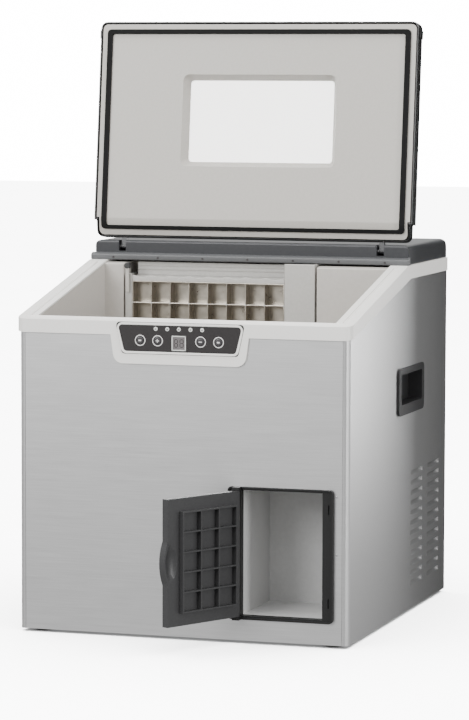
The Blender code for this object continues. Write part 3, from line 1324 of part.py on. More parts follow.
def lid(machine):
    """Shell, foam, inner panel, gasket and window on two arms, leaning back past upright."""
    pivot = empty("lid_pivot", PIVOT, machine, -LID_LEAN)
    back = LID_THICK - LID_DEEP
    inner_back = back - LID_WALL
    face = PANEL_RECESS
    shell = lid_front_of(0, lid_slab(0, -LID_DEEP, back))
    hollow = lid_slab(LID_WALL, -2 * LID_DEEP, inner_back)
    shell = cut(shell, hollow, prism(window_outline(0), "Y", inner_back - MM, back + MM))
    far = lid_front()
    nubs = []
    for side in (-1, 1):
        x = sorted((side * (HALF + LID_HALF - MM), side * (HALF + LID_HALF + GRIP_NUB)))
        nubs.append(block(x[0], x[1], -LID_DEEP + 2 * MM, back - 2 * MM, far - 22 * MM, far - 11 * MM))
    node("lid_shell", joined(shell, *nubs), "lid_black", pivot)
    gap = LID_WALL + CLEAR
    panel_back = -LID_DEEP + face + PANEL_THICK
    panel = lid_front_of(face, lid_slab(gap, -LID_DEEP, panel_back + 6 * MM))
    behind = lid_slab(gap + MM, panel_back, back)
    line = lid_surface(face + PANEL_THICK)
    outline = line + [(back, line[-1][1]), (back, line[0][1])]
    behind = shared(prism(outline, "X", -HALF, HALF), lid_slab(gap + PANEL_THICK, -LID_DEEP, back))
    panel = cut(panel, behind)
    glass = inner_back - CLEAR - WINDOW_THICK
    funnel = flared(-LID_DEEP + face + MM, glass - CLEAR, WINDOW_FLARE + PANEL_THICK, PANEL_THICK)
    hole = flared(-LID_DEEP - 2 * MM, glass + MM, WINDOW_FLARE + MM, -MM)
    panel = cut(joined(panel, funnel), hole)
    node("lid_inner_panel", panel, "panel_grey", pivot)
    foam = lid_slab(gap + PANEL_THICK + CLEAR, -LID_DEEP, inner_back - CLEAR)
    foam = lid_front_of(face + PANEL_THICK + CLEAR, foam)
    room = flared(
        -LID_DEEP, back, WINDOW_FLARE + 2 * PANEL_THICK + 2 * CLEAR, 3 * PANEL_THICK + 2 * CLEAR
    )
    node("lid_insulation", cut(foam, room), "foam", pivot)
    glass_pane = prism(window_outline(PANEL_THICK), "Y", glass, inner_back - CLEAR)
    node("lid_window", glass_pane, "clear", pivot)
    lid_gasket(pivot)
    lid_arms(machine, pivot)


def lid_gasket(pivot):
    half = HALF + LID_HALF - GASKET_SIDE
    far = lid_front() - GASKET_FRONT
    outer = rectangle(-half, half, GASKET_END, far, 5 * MM)
    width = GASKET_WIDTH
    inner = rectangle(-half + width, half - width, GASKET_END + 5.2 * MM, far - 6 * MM, 3 * MM)
    low = -LID_DEEP - 2 * GASKET_TALL
    ring = cut(prism(outer, "Y", low, 0), prism(inner, "Y", low - MM, MM))
    face = PANEL_RECESS - CLEAR
    ring = lid_front_of(face - GASKET_TALL, ring)
    line = lid_surface(face)
    outline = line + [(0.1, line[-1][1]), (0.1, line[0][1])]
    node("lid_gasket", cut(ring, prism(outline, "X", -WIDTH, WIDTH)), "rubber", pivot)


def lid_arms(machine, pivot):
    half = ARM_WIDTH / 2
    for side, x in (("left", -ARM_X), ("right", ARM_X)):
        eye = rod(ARM_RADIUS, "X", x - half, x + half, (0, 0, 0), FINE_SIDES)
        stem = block(x - half, x + half, -2.4 * MM, 2.4 * MM, 0, LID_END - CLEAR)
        bore = rod(PIN_RADIUS + CLEAR, "X", x - 2 * half, x + 2 * half, (0, 0, 0), FINE_SIDES)
        node(f"lid_hinge_arm_{side}", cut(joined(eye, stem), bore), "cover_dark", pivot)
        reach = half + NOTCH_SIDE + EAR
        pin = rod(PIN_RADIUS, "X", x - reach, x + reach, (0, 0, 0), FINE_SIDES)
        node(f"lid_hinge_pin_{side}", pin, "steel", machine, PIVOT, smooth=True)


# --- rear connections -------------------------------------------------------------------------


def connections(machine):
    """Power inlet, water valve and drain, each through its hole in the rear panel."""
    half, tall = INLET_WIDE / 2, INLET_TALL / 2
    flange = block(
        INLET_X - half, INLET_X + half, DEPTH + CLEAR, DEPTH + INLET_PROUD, INLET_Z - tall, INLET_Z + tall
    )
    half, tall = half - 6 * MM - CLEAR, tall - 4 * MM - CLEAR
    body = block(
        INLET_X - half, INLET_X + half, DEPTH - INLET_DEEP, DEPTH + INLET_PROUD / 2, INLET_Z - tall, INLET_Z + tall
    )
    wall = 2 * MM
    recess = block(
        INLET_X - half + wall,
        INLET_X + half - wall,
        DEPTH - INLET_DEEP + 2 * wall,
        DEPTH + 2 * INLET_PROUD,
        INLET_Z - tall + wall,
        INLET_Z + tall - wall,
    )
    blades = [
        block(x - MM, x + MM, DEPTH - INLET_DEEP + wall, DEPTH - wall, INLET_Z + z - 2 * MM, INLET_Z + z + 2 * MM)
        for x, z in ((INLET_X - 7 * MM, -2 * MM), (INLET_X, 2 * MM), (INLET_X + 7 * MM, -2 * MM))
    ]
    node("power_inlet", joined(cut(joined(flange, body), recess), *blades), "black_paint", machine)
    valve = turned(
        [
            (0, DEPTH - WATER_DEEP),
            (WATER_RADIUS * 1.5, DEPTH - WATER_DEEP),
            (WATER_RADIUS * 1.5, DEPTH - SHEET - CLEAR),
            (WATER_RADIUS, DEPTH - SHEET - CLEAR),
            (WATER_RADIUS, DEPTH + WATER_PROUD),
            (WATER_RADIUS - 3 * MM, DEPTH + WATER_PROUD),
            (WATER_RADIUS - 3 * MM, DEPTH - SHEET),
            (0, DEPTH - SHEET),
        ],
        "Y",
        (0, 0, 0),
    )
    node("water_inlet_valve", valve, "white_plastic", machine, (WATER_X, 0, WATER_Z), smooth=True)
    neck = DRAIN_RADIUS - 3 * MM
    drain = turned(
        [
            (0, DEPTH - DRAIN_DEEP),
            (neck, DEPTH - DRAIN_DEEP),
            (neck, DEPTH + CLEAR),
            (DRAIN_RADIUS, DEPTH + CLEAR),
            (DRAIN_RADIUS, DEPTH + DRAIN_PROUD - 2 * MM),
            (DRAIN_RADIUS - 2 * MM, DEPTH + DRAIN_PROUD),
            (0, DEPTH + DRAIN_PROUD),
        ],
        "Y",
        (0, 0, 0),
    )
    node("drain_plug", drain, "rubber", machine, (DRAIN_X, 0, DRAIN_Z), smooth=True)


def corners_of(thing, graph):
    """World corners of the piece as it is finally shaped."""
    evaluated = thing.evaluated_get(graph)
    mesh = evaluated.to_mesh()
    points = [evaluated.matrix_world @ vertex.co for vertex in mesh.vertices]
    evaluated.to_mesh_clear()
    return points


def centre_on_footprint(machine):
    """Moves the machine so that the middle of its footprint, feet down, is the world's origin."""
    bpy.context.view_layer.update()
    graph = bpy.context.evaluated_depsgraph_get()
    pieces = [thing for thing in bpy.context.scene.objects if thing.type in ("MESH", "CURVE")]
    depths = [point.y for thing in pieces for point in corners_of(thing, graph)]
    machine.location = (0, -(min(depths) + max(depths)) / 2, FOOT_HEIGHT)


def main():
    for thing in list(bpy.data.objects):
        bpy.data.objects.remove(thing)
    machine = empty("machine", (0, 0, 0))
    base_pan(machine)
    feet(machine)
    front_panel(machine)
    side_panels(machine)
    rear_panel(machine)
    handle_cups(machine)
    top_trim(machine)
    controls(machine)
    bin_liner(machine)
    bin_insulation(machine)
    evaporator(machine)
    tank_and_pump(machine)
    crushed_ice_box(machine)
    door_frame(machine)
    ice_door(machine)
    crusher(machine)
    cooling(machine)
    rear_cover(machine)
    lid(machine)
    connections(machine)
    centre_on_footprint(machine)


main()
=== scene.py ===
"""Looks of the countertop ice maker: brushed cabinet, pale rim, dark cover and door, open lid."""

import json
from math import atan2, radians

import bpy
from mathutils import Matrix, Vector


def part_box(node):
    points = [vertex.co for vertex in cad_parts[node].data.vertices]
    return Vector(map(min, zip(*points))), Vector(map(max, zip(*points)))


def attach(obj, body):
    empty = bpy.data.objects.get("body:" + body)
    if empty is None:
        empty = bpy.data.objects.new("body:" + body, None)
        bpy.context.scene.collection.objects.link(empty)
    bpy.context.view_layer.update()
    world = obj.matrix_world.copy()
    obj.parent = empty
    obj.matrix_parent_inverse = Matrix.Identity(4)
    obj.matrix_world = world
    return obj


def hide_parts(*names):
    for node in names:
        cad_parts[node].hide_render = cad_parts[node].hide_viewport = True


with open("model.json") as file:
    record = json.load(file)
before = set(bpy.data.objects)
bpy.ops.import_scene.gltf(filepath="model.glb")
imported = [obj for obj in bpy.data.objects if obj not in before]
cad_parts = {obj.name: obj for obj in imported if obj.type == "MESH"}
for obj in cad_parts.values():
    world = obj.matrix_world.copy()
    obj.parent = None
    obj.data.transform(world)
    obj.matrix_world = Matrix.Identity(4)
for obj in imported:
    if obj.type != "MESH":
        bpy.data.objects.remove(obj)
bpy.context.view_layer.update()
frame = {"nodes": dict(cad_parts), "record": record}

MM = 0.001
record = frame["record"]
SLOTS = {part["node"]: part["material_slot"] for part in record["subparts"]}
BODIES = {node: body for body, nodes in record["behaviour"]["bodies"].items() for node in nodes}
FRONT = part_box("front_panel")[0].y


# --- finishes ---------------------------------------------------------------------------------

FINISHES = {}
BRUSHED = (1.2, 60, 60)  # the grain is drawn out along X
DARK_SHARE, LIGHT_SHARE = 0.3, 0.7  # where the grain is all dark and all light
GRAIN_DETAIL = 4
GRAIN_HEIGHT = 0.3 * MM
SMOOTHEST = 0.02


def finish(
    name, light, dark, rough, metal=0.0, grain=60.0, stretch=(1, 1, 1), spread=0.06, bump=0.05, shine=0.5
):
    """A surface whose colour and gloss wander between two close values along a fine grain.

    light and dark are the two colours, and rough and spread the middle and the reach of the roughness.
    grain is how fine the grain is, stretch how it is drawn out, bump how deep it is, and shine how
    strongly the surface reflects.
    """
    material = bpy.data.materials.new(name)
    material.use_nodes = True
    tree = material.node_tree
    shader = tree.nodes["Principled BSDF"]
    place = tree.nodes.new("ShaderNodeTexCoord")
    turn = tree.nodes.new("ShaderNodeMapping")
    turn.inputs["Scale"].default_value = stretch
    noise = tree.nodes.new("ShaderNodeTexNoise")
    noise.inputs["Scale"].default_value = grain
    noise.inputs["Detail"].default_value = GRAIN_DETAIL
    ramp = tree.nodes.new("ShaderNodeValToRGB")
    ramp.color_ramp.elements[0].position = DARK_SHARE
    ramp.color_ramp.elements[1].position = LIGHT_SHARE
    ramp.color_ramp.elements[0].color = (*dark, 1)
    ramp.color_ramp.elements[1].color = (*light, 1)
    gloss = tree.nodes.new("ShaderNodeMapRange")
    gloss.inputs["To Min"].default_value = max(rough - spread, SMOOTHEST)
    gloss.inputs["To Max"].default_value = rough + spread
    tree.links.new(place.outputs["Object"], turn.inputs["Vector"])
    tree.links.new(turn.outputs["Vector"], noise.inputs["Vector"])
    tree.links.new(noise.outputs["Fac"], ramp.inputs["Fac"])
    tree.links.new(ramp.outputs["Color"], shader.inputs["Base Color"])
    tree.links.new(noise.outputs["Fac"], gloss.inputs["Value"])
    tree.links.new(gloss.outputs["Result"], shader.inputs["Roughness"])
    shader.inputs["Metallic"].default_value = metal
    shader.inputs["Specular IOR Level"].default_value = shine
    if bump:
        relief = tree.nodes.new("ShaderNodeBump")
        relief.inputs["Strength"].default_value = bump
        relief.inputs["Distance"].default_value = GRAIN_HEIGHT
        tree.links.new(noise.outputs["Fac"], relief.inputs["Height"])
        tree.links.new(relief.outputs["Normal"], shader.inputs["Normal"])
    FINISHES[name] = material
    return material


def clear_finish(name, tint, rough, through, bend):
    """A see-through surface with a faint haze."""
    material = finish(name, tint, tuple(c * 0.96 for c in tint), rough, grain=25, spread=0.02, bump=0)
    shader = material.node_tree.nodes["Principled BSDF"]
    shader.inputs["Transmission Weight"].default_value = through
    shader.inputs["IOR"].default_value = bend


# cabinet and rim
finish("stainless", (0.66, 0.66, 0.66), (0.60, 0.60, 0.60), 0.34, 1.0, 18, BRUSHED, 0.05, 0.03)
finish("galvanised", (0.58, 0.59, 0.59), (0.54, 0.55, 0.56), 0.42, 1.0, 90, spread=0.05)
finish("rim_white", (0.89, 0.875, 0.84), (0.87, 0.855, 0.82), 0.34, 0, 300, bump=0.02)
finish("bezel_grey", (0.020, 0.020, 0.021), (0.014, 0.014, 0.015), 0.42, 0, 500, bump=0.06, shine=0.35)

# cover and lid
finish(
    "cover_dark", (0.036, 0.037, 0.040), (0.032, 0.033, 0.036), 0.30, 0, 300, spread=0.02, bump=0, shine=0.35
)
finish("rail_grey", (0.085, 0.087, 0.090), (0.078, 0.080, 0.083), 0.34, 0, 300, spread=0.02, bump=0)
finish(
    "lid_black", (0.006, 0.006, 0.006), (0.004, 0.004, 0.004), 0.24, 0, 300, spread=0.02, bump=0, shine=0.3
)
finish("panel_grey", (0.46, 0.44, 0.405), (0.43, 0.41, 0.375), 0.42, 0, 400, bump=0.04)
finish("rubber", (0.007, 0.007, 0.007), (0.004, 0.004, 0.004), 0.62, 0, 500, bump=0.1, shine=0.12)
clear_finish("clear", (0.93, 0.915, 0.89), 0.05, through=0.95, bend=1.49)

# bin and evaporator
finish("liner_grey", (0.51, 0.485, 0.45), (0.48, 0.455, 0.42), 0.38, 0, 220, bump=0.02)
finish("foam", (0.78, 0.70, 0.48), (0.70, 0.62, 0.40), 0.9, 0, 500, bump=0.4)
finish("plated", (0.44, 0.405, 0.35), (0.34, 0.315, 0.27), 0.30, 1.0, 90, spread=0.08)
finish("white_plastic", (0.47, 0.46, 0.435), (0.43, 0.42, 0.395), 0.34, 0, 260, bump=0.02)
finish("tank", (0.68, 0.73, 0.76), (0.62, 0.67, 0.70), 0.32, 0, 120)

# crushed-ice box and door
finish("box_grey", (0.52, 0.52, 0.515), (0.49, 0.49, 0.485), 0.40, 0, 220, bump=0.02)
finish("door_grey", (0.038, 0.038, 0.039), (0.031, 0.031, 0.032), 0.42, 0, 500, bump=0.08, shine=0.4)
finish("black_frame", (0.010, 0.010, 0.010), (0.006, 0.006, 0.006), 0.45, 0, 500, bump=0.06, shine=0.3)

# controls
finish("overlay", (0.020, 0.017, 0.017), (0.015, 0.013, 0.013), 0.40, 0, 400, bump=0.03, shine=0.35)
finish("button", (0.040, 0.038, 0.040), (0.030, 0.028, 0.030), 0.36, 0, 400, bump=0.03)
finish("light", (0.74, 0.75, 0.72), (0.66, 0.67, 0.64), 0.25, 0, 300, bump=0)
finish("display", (0.16, 0.15, 0.15), (0.13, 0.12, 0.12), 0.16, 0, 60, bump=0)
finish("printed_ring", (0.78, 0.77, 0.75), (0.72, 0.71, 0.69), 0.4, 0, 300, bump=0)
finish("dark_lens", (0.05, 0.045, 0.045), (0.035, 0.03, 0.03), 0.12, 0, 200, bump=0)
finish("board", (0.03, 0.24, 0.11), (0.02, 0.16, 0.07), 0.45, 0, 260)

# metals and paint of the cooling parts and fittings
finish("copper", (0.75, 0.40, 0.24), (0.62, 0.30, 0.18), 0.30, 1.0, 120)
finish("steel", (0.60, 0.60, 0.61), (0.50, 0.50, 0.51), 0.28, 1.0, 160)
finish("black_paint", (0.024, 0.024, 0.024), (0.016, 0.016, 0.016), 0.42, 0, 260)
finish("aluminium", (0.72, 0.73, 0.74), (0.62, 0.63, 0.64), 0.36, 1.0, 120)


# --- making pieces ----------------------------------------------------------------------------

MERGE = 0.01 * MM
UPRIGHT_TO_FRONT = (radians(90), 0, 0)  # turns a round piece's axis from Z to Y
RING_FLATNESS = 0.3
RING_FOLD = 60  # degrees, past which a ring's edges stay sharp
SMALL_FOLD = 40  # the same for bars and discs


def select_nothing():
    bpy.ops.object.select_all(action="DESELECT")


def only(piece):
    """Selects this piece alone and makes it the active one."""
    select_nothing()
    piece.select_set(True)
    bpy.context.view_layer.objects.active = piece


def apply(piece, kind, **settings):
    """Adds a modifier with these settings and applies it."""
    modifier = piece.modifiers.new(kind.lower(), kind)
    for key, value in settings.items():
        setattr(modifier, key, value)
    only(piece)
    bpy.ops.object.modifier_apply(modifier=modifier.name)


def smoothed(piece, angle):
    """Shades a piece smooth, with edges over this many degrees left sharp."""
    only(piece)
    bpy.ops.object.shade_smooth_by_angle(angle=radians(angle))
    apply(piece, "WEIGHTED_NORMAL", keep_sharp=True, weight=60)
    return piece


def settle(piece):
    """Puts a piece's place, turn and scale into its mesh."""
    only(piece)
    bpy.ops.object.transform_apply(location=True, rotation=True, scale=True)
    return piece


def resized(piece, factors, middle):
    """Scales a piece about a point."""
    piece.scale = factors
    piece.location = middle - Vector([a * b for a, b in zip(middle, factors)])
    return settle(piece)


def dressed(piece, material, body):
    """Gives a finished piece its surface and its body."""
    piece.data.materials.clear()
    piece.data.materials.append(material)
    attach(piece, body)


def middle_of(node):
    low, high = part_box(node)
    return (low + high) / 2


def cleaned_copy(node, name):
    """The node's own shape as one joined mesh."""
    piece = bpy.data.objects.new(name, frame["nodes"][node].data.copy())
    bpy.context.scene.collection.objects.link(piece)
    only(piece)
    bpy.ops.object.mode_set(mode="EDIT")
    bpy.ops.mesh.select_all(action="SELECT")
    bpy.ops.mesh.remove_doubles(threshold=MERGE)
    bpy.ops.object.mode_set(mode="OBJECT")
    return piece


def flat_ring(radius, width):
    """A ring pressed flat, which looks towards -Y, its sizes in millimetres."""
    select_nothing()
    bpy.ops.mesh.primitive_torus_add(
        major_radius=radius * MM,
        minor_radius=width * MM / 2,
        major_segments=48,
        minor_segments=10,
        rotation=UPRIGHT_TO_FRONT,
    )
    ring = bpy.context.object
    ring.scale = (1, 1, RING_FLATNESS)
    return smoothed(settle(ring), RING_FOLD)


def bar(size, soften=0.2):
    """A small block with rounded edges, its sizes in millimetres."""
    select_nothing()
    bpy.ops.mesh.primitive_cube_add(size=1)
    block = bpy.context.object
    block.scale = tuple(length * MM for length in size)
    settle(block)
    bpy.ops.object.mode_set(mode="EDIT")
    bpy.ops.mesh.select_all(action="SELECT")
    bpy.ops.mesh.bevel(offset=soften * MM, segments=2, affect="EDGES")
    bpy.ops.object.mode_set(mode="OBJECT")
    return smoothed(block, SMALL_FOLD)


def disc(radius, depth, soften=0.3, sides=32):
    """A short round piece with rounded rims and its axis along Y, its sizes in millimetres."""
    select_nothing()
    bpy.ops.mesh.primitive_cylinder_add(
        vertices=sides, radius=radius * MM, depth=depth * MM, rotation=UPRIGHT_TO_FRONT
    )
    piece = settle(bpy.context.object)
    fold = radians(SMALL_FOLD)
    apply(piece, "BEVEL", width=soften * MM, segments=2, limit_method="ANGLE", angle_limit=fold)
    return smoothed(piece, SMALL_FOLD)


def set_out(pattern, places, material, body):
    """Puts a copy of the pattern, with its own mesh, at each named place and takes the pattern away."""
    for name, place in places.items():
        piece = bpy.data.objects.new(name, pattern.data.copy())
        bpy.context.scene.collection.objects.link(piece)
        piece.location = place
        dressed(settle(piece), material, body)
    bpy.data.objects.remove(pattern)


# --- the frame's own pieces, with their edges rounded over --------------------------------------

EDGES = {
    "top_trim": 0.6,
    "rear_top_cover": 0.9,
    "cover_front_rail": 0.8,
    "lid_shell": 1.3,
    "lid_inner_panel": 0.7,
    "lid_gasket": 1.2,
    "lid_window": 0.3,
    "ice_door": 0.5,
    "door_frame": 0.6,
    "crushed_ice_box": 0.5,
    "bin_liner": 0.8,
    "handle_cup_left": 1.0,
    "handle_cup_right": 1.0,
    "front_panel": 0.25,
    "left_side_panel": 0.0,
    "right_side_panel": 0.0,
    "rear_panel": 0.25,
    "base_pan": 0.3,
    "evaporator_grid": 0.35,
    "evaporator_surround": 0.8,
    "water_distributor": 0.5,
    "control_overlay": 0.25,
    "display_window": 0.5,
    "crusher_housing": 0.6,
    "crusher_motor": 0.8,
    "crusher_comb": 0.5,
    "crusher_rotor": 0.4,
    "lid_hinge_arm_left": 0.5,
    "lid_hinge_arm_right": 0.5,
    "power_inlet": 0.5,
    "fan_blade": 0.4,
}
FOLD = 30  # degrees, past which an edge is rounded and stays sharp in shading
LOUVRE_FOLD = 20  # the louvres' slopes meet their panel at a flatter angle
OTHER_FOLD = {"left_side_panel": LOUVRE_FOLD, "right_side_panel": LOUVRE_FOLD}
OTHER_FINISH = {
    "cover_front_rail": "rail_grey",
    "crushed_ice_box": "box_grey",
    "door_frame": "black_frame",
    "handle_cup_left": "bezel_grey",
    "handle_cup_right": "bezel_grey",
}


def softened(node, width):
    """A piece that stands for the node, with its edges rounded by this many millimetres."""
    piece = cleaned_copy(node, node + "_soft")
    if width:
        apply(
            piece,
            "BEVEL",
            width=width * MM,
            segments=2,
            limit_method="ANGLE",
            angle_limit=radians(FOLD),
            miter_outer="MITER_ARC",
        )
    smoothed(piece, OTHER_FOLD.get(node, FOLD))
    dressed(piece, FINISHES[OTHER_FINISH.get(node, SLOTS[node])], BODIES[node])
    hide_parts(node)


for node, width in EDGES.items():
    softened(node, width)
for node, thing in frame["nodes"].items():
    if node not in EDGES:
        thing.data.materials.clear()
        thing.data.materials.append(FINISHES[SLOTS[node]])

# the lid's inner panel is drawn in, so that the shell's black edge shows around it
SHELL_SHOWS = 2.0 * MM
low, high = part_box("lid_inner_panel")
size = high - low
factors = Vector((1 - SHELL_SHOWS / size.x, 1, 1 - SHELL_SHOWS / size.z))
resized(bpy.data.objects["lid_inner_panel_soft"], factors, middle_of("lid_inner_panel"))


# --- control panel, its sizes in millimetres ----------------------------------------------------

BEAD_REACH = 3.6  # from the overlay's edge to past the bead around it
LINE_THICKNESS = 0.2  # a share of the overlay's
LINE_SUNK = 0.78  # from the overlay's face back to the line's
BUTTON_RING = (6.3, 1.1)
LIGHT_RING = (2.0, 1.0)
LENS_RADIUS, LENS_DEPTH, LENS_PROUD = 0.85, 0.5, 0.1
MARK_ACROSS = (4.2, 0.3, 1.0)
MARK_UPRIGHT = (1.0, 0.3, 4.2)
MARK_BLOCK = (3.6, 0.3, 1.8)
BUTTONS = ("power", "plus", "minus", "set")
MARKS = {
    "mark_power": ("button_power", MARK_BLOCK),
    "mark_plus_across": ("button_plus", MARK_ACROSS),
    "mark_plus_upright": ("button_plus", MARK_UPRIGHT),
    "mark_minus_across": ("button_minus", MARK_ACROSS),
    "mark_set": ("button_set", MARK_BLOCK),
}

low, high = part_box("control_overlay")
FACE = low.y
size = high - low
reach = 2 * BEAD_REACH * MM
grown = Vector(((size.x + reach) / size.x, LINE_THICKNESS, (size.z + reach) / size.z))
# a black plate behind the overlay: its thin edge past the bead is a painted shadow line for the shaded gap
# around the overlay
line = resized(cleaned_copy("control_overlay", "panel_shadow_line"), grown, middle_of("control_overlay"))
line.location.y += FACE + LINE_SUNK * MM - min(corner.co.y for corner in line.data.vertices)
dressed(settle(line), FINISHES["black_frame"], "cabinet")

rings = {}
for name in BUTTONS:
    x, _, z = middle_of("button_" + name)
    rings["ring_" + name] = (x, FACE, z)
set_out(flat_ring(*BUTTON_RING), rings, FINISHES["printed_ring"], "cabinet")
for mark, (button, size) in MARKS.items():
    x, _, z = middle_of(button)
    place = (x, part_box(button)[0].y, z)
    set_out(bar(size, 0.1), {mark: place}, FINISHES["printed_ring"], button)

lenses, rings = {}, {}
for number in range(1, 6):
    light = f"indicator_light_{number}"
    x, _, z = middle_of(light)
    lenses[f"light_lens_{number}"] = (x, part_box(light)[0].y - LENS_PROUD * MM, z)
    rings[f"light_ring_{number}"] = (x, FACE, z)
lens = disc(LENS_RADIUS, LENS_DEPTH, soften=0.15, sides=16)
set_out(lens, lenses, FINISHES["dark_lens"], "cabinet")
set_out(flat_ring(*LIGHT_RING), rings, FINISHES["light"], "cabinet")

# the display's pale surround and the unlit strokes of its two figures
SURROUND_WIDTH, SURROUND_DEPTH, SURROUND_LENGTH = 1.3, 0.7, 18.4
SURROUND_INSET = 0.6
FIGURE_STEP = 3.7
STROKE_DEPTH = 0.2
LEVEL_STROKE, LEVEL_STEP = (3.4, STROKE_DEPTH, 0.9), 4.6
UPRIGHT_STROKE, UPRIGHT_STEP, UPRIGHT_RISE = (0.9, STROKE_DEPTH, 3.6), 2.1, 2.3

low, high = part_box("display_window")
glass = Vector((middle_of("display_window").x, low.y, middle_of("display_window").z))
edge = (high.x - low.x) / 2 - SURROUND_INSET * MM
uprights, levels, level_strokes, upright_strokes = {}, {}, {}, {}
for side in (-1, 1):
    uprights[f"display_edge_upright_{side + 2}"] = glass + Vector((side * edge, 0, 0))
    levels[f"display_edge_level_{side + 2}"] = glass + Vector((0, 0, side * edge))
for figure in (-1, 1):
    for row in (-1, 0, 1):
        shift = Vector((figure * FIGURE_STEP, 0, row * LEVEL_STEP)) * MM
        level_strokes[f"digit_{figure + 2}_level_{row + 2}"] = glass + shift
    for side in (-1, 1):
        for half in (-1, 1):
            shift = Vector((figure * FIGURE_STEP + side * UPRIGHT_STEP, 0, half * UPRIGHT_RISE)) * MM
            upright_strokes[f"digit_{figure + 2}_upright_{side + 2}{half + 2}"] = glass + shift
upright = bar((SURROUND_WIDTH, SURROUND_DEPTH, SURROUND_LENGTH))
level = bar((SURROUND_LENGTH, SURROUND_DEPTH, SURROUND_WIDTH))
set_out(upright, uprights, FINISHES["light"], "cabinet")
set_out(level, levels, FINISHES["light"], "cabinet")
set_out(bar(LEVEL_STROKE, 0.06), level_strokes, FINISHES["dark_lens"], "cabinet")
set_out(bar(UPRIGHT_STROKE, 0.06), upright_strokes, FINISHES["dark_lens"], "cabinet")


# --- screws and rivets, their sizes in millimetres ----------------------------------------------

RAIL_SCREW, RAIL_SCREWS, RAIL_SCREW_STEP, RAIL_SCREW_RISE = (1.5, 0.8), 7, 62, 3.2
RIVET, RIVET_HEIGHTS, RIVET_INSET = (1.6, 0.7), (187, 116), 6.5
REAR_SCREW, REAR_SCREWS_ACROSS, REAR_SCREWS_UP = (3.2, 1.6), (-200, -67, 67, 200), (16, 420)
REAR_SLOT, REAR_SLOT_OUT = (4.0, 0.2, 0.8), 0.75

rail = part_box("cover_front_rail")[0]
places = {}
for number in range(RAIL_SCREWS):
    x = (number - (RAIL_SCREWS - 1) / 2) * RAIL_SCREW_STEP * MM
    places[f"rail_screw_{number + 1}"] = (x, rail.y, rail.z + RAIL_SCREW_RISE * MM)
set_out(disc(*RAIL_SCREW, sides=20), places, FINISHES["dark_lens"], "cabinet")

low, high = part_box("front_panel")
places = {}
for number, height in enumerate(RIVET_HEIGHTS):
    places[f"front_rivet_{number + 1}"] = (high.x - RIVET_INSET * MM, low.y, height * MM)
set_out(disc(*RIVET, sides=20), places, FINISHES["steel"], "cabinet")

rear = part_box("rear_panel")[1].y
screws, slots = {}, {}
for across in REAR_SCREWS_ACROSS:
    for up in REAR_SCREWS_UP:
        number = len(screws) + 1
        screws[f"rear_screw_{number}"] = (across * MM, rear, up * MM)
        slots[f"rear_screw_slot_{number}"] = (across * MM, rear + REAR_SLOT_OUT * MM, up * MM)
set_out(disc(*REAR_SCREW, soften=0.5), screws, FINISHES["steel"], "cabinet")
# the slots are dark bars on the steel heads: painted shade where a real slot is a shaded recess
set_out(bar(REAR_SLOT, 0.05), slots, FINISHES["dark_lens"], "cabinet")


# --- tips between the evaporator's cells, and the level sensor ----------------------------------

CELL, ROW = 26 * MM, 28 * MM
HALF_WALL = 0.8 * MM
TIP_PROUD = 0.2 * MM
TIP = (1.2, 2.2)  # millimetres

low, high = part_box("evaporator_grid")
tips = {}
for column in range(round((high.x - low.x) / CELL) + 1):
    for row in range(1, round((high.z - low.z) / ROW)):
        x = low.x + HALF_WALL + column * CELL
        z = low.z + HALF_WALL + row * ROW
        tips[f"cell_tip_{column}_{row}"] = (x, low.y - TIP_PROUD, z)
set_out(disc(*TIP, soften=0.4, sides=12), tips, FINISHES["white_plastic"], "cabinet")

HUB_IN, HUB_OUT, HUB_DROP = 4.5, 3, 6  # millimetres from the surround's top left corner
ARM_OUT, ARM_DROP = 1.5, 18  # millimetres from the hub to the arm's middle
HUB, ARM = (4.0, 8), (5, 2.4, 34)  # millimetres

low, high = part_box("evaporator_surround")
hub_at = Vector((low.x + HUB_IN * MM, low.y - HUB_OUT * MM, high.z - HUB_DROP * MM))
arm_at = hub_at - Vector((0, ARM_OUT, ARM_DROP)) * MM
hub = disc(*HUB, soften=0.8)
arm = bar(ARM, 0.8)
set_out(hub, {"level_sensor_hub": hub_at}, FINISHES["black_paint"], "cabinet")
set_out(arm, {"level_sensor_arm": arm_at}, FINISHES["panel_grey"], "cabinet")


# --- dark backs of the door frame's latch slots --------------------------------------------------

SLOT_INSET = 6  # millimetres from the frame's right edge to the middle of a slot
SLOT_SHARES = (0.15, 0.85)  # of the frame's height
SLOT_DEPTH = 0.2  # millimetres behind the panel's face
SLOT_BACK = (1.96, 1.4, 11.96)  # millimetres, a hair less than the slot

low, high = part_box("door_frame")
places = {}
for number, share in enumerate(SLOT_SHARES):
    z = low.z + share * (high.z - low.z)
    places[f"latch_slot_back_{number + 1}"] = (high.x - SLOT_INSET * MM, FRONT + SLOT_DEPTH * MM, z)
set_out(bar(SLOT_BACK, 0.05), places, FINISHES["black_frame"], "cabinet")


# --- a darker line along the rim on each side of the bin's mouth, painted shade of a step --------

LINE_SIDE = 202.5 * MM
LINE_ENDS = (12 * MM, 252 * MM)  # behind the front
ABOVE_ALL = 1.0  # metres, where the search down to the rim starts
LINE_WIDTH, LINE_HEIGHT = 0.7, 0.5  # millimetres

rim = bpy.data.objects["top_trim_soft"]
bpy.context.view_layer.update()
for name, side in (("rim_step_shade_left", -1), ("rim_step_shade_right", 1)):
    above = [(side * LINE_SIDE, FRONT + y, ABOVE_ALL) for y in LINE_ENDS]
    near, far = [rim.ray_cast(point, (0, 0, -1))[1] for point in above]
    along = far - near
    # a low bar whose grey, darker than the rim, is painted shade for the step that runs along the rim
    line = bar((LINE_WIDTH, along.length / MM, LINE_HEIGHT), 0.15)
    line.name = name
    line.rotation_euler = (atan2(along.z, along.y), 0, 0)
    line.location = (near + far) / 2
    dressed(settle(line), FINISHES["liner_grey"], "cabinet")


# --- floor and room -----------------------------------------------------------------------------

FLOOR_SIZE = 30

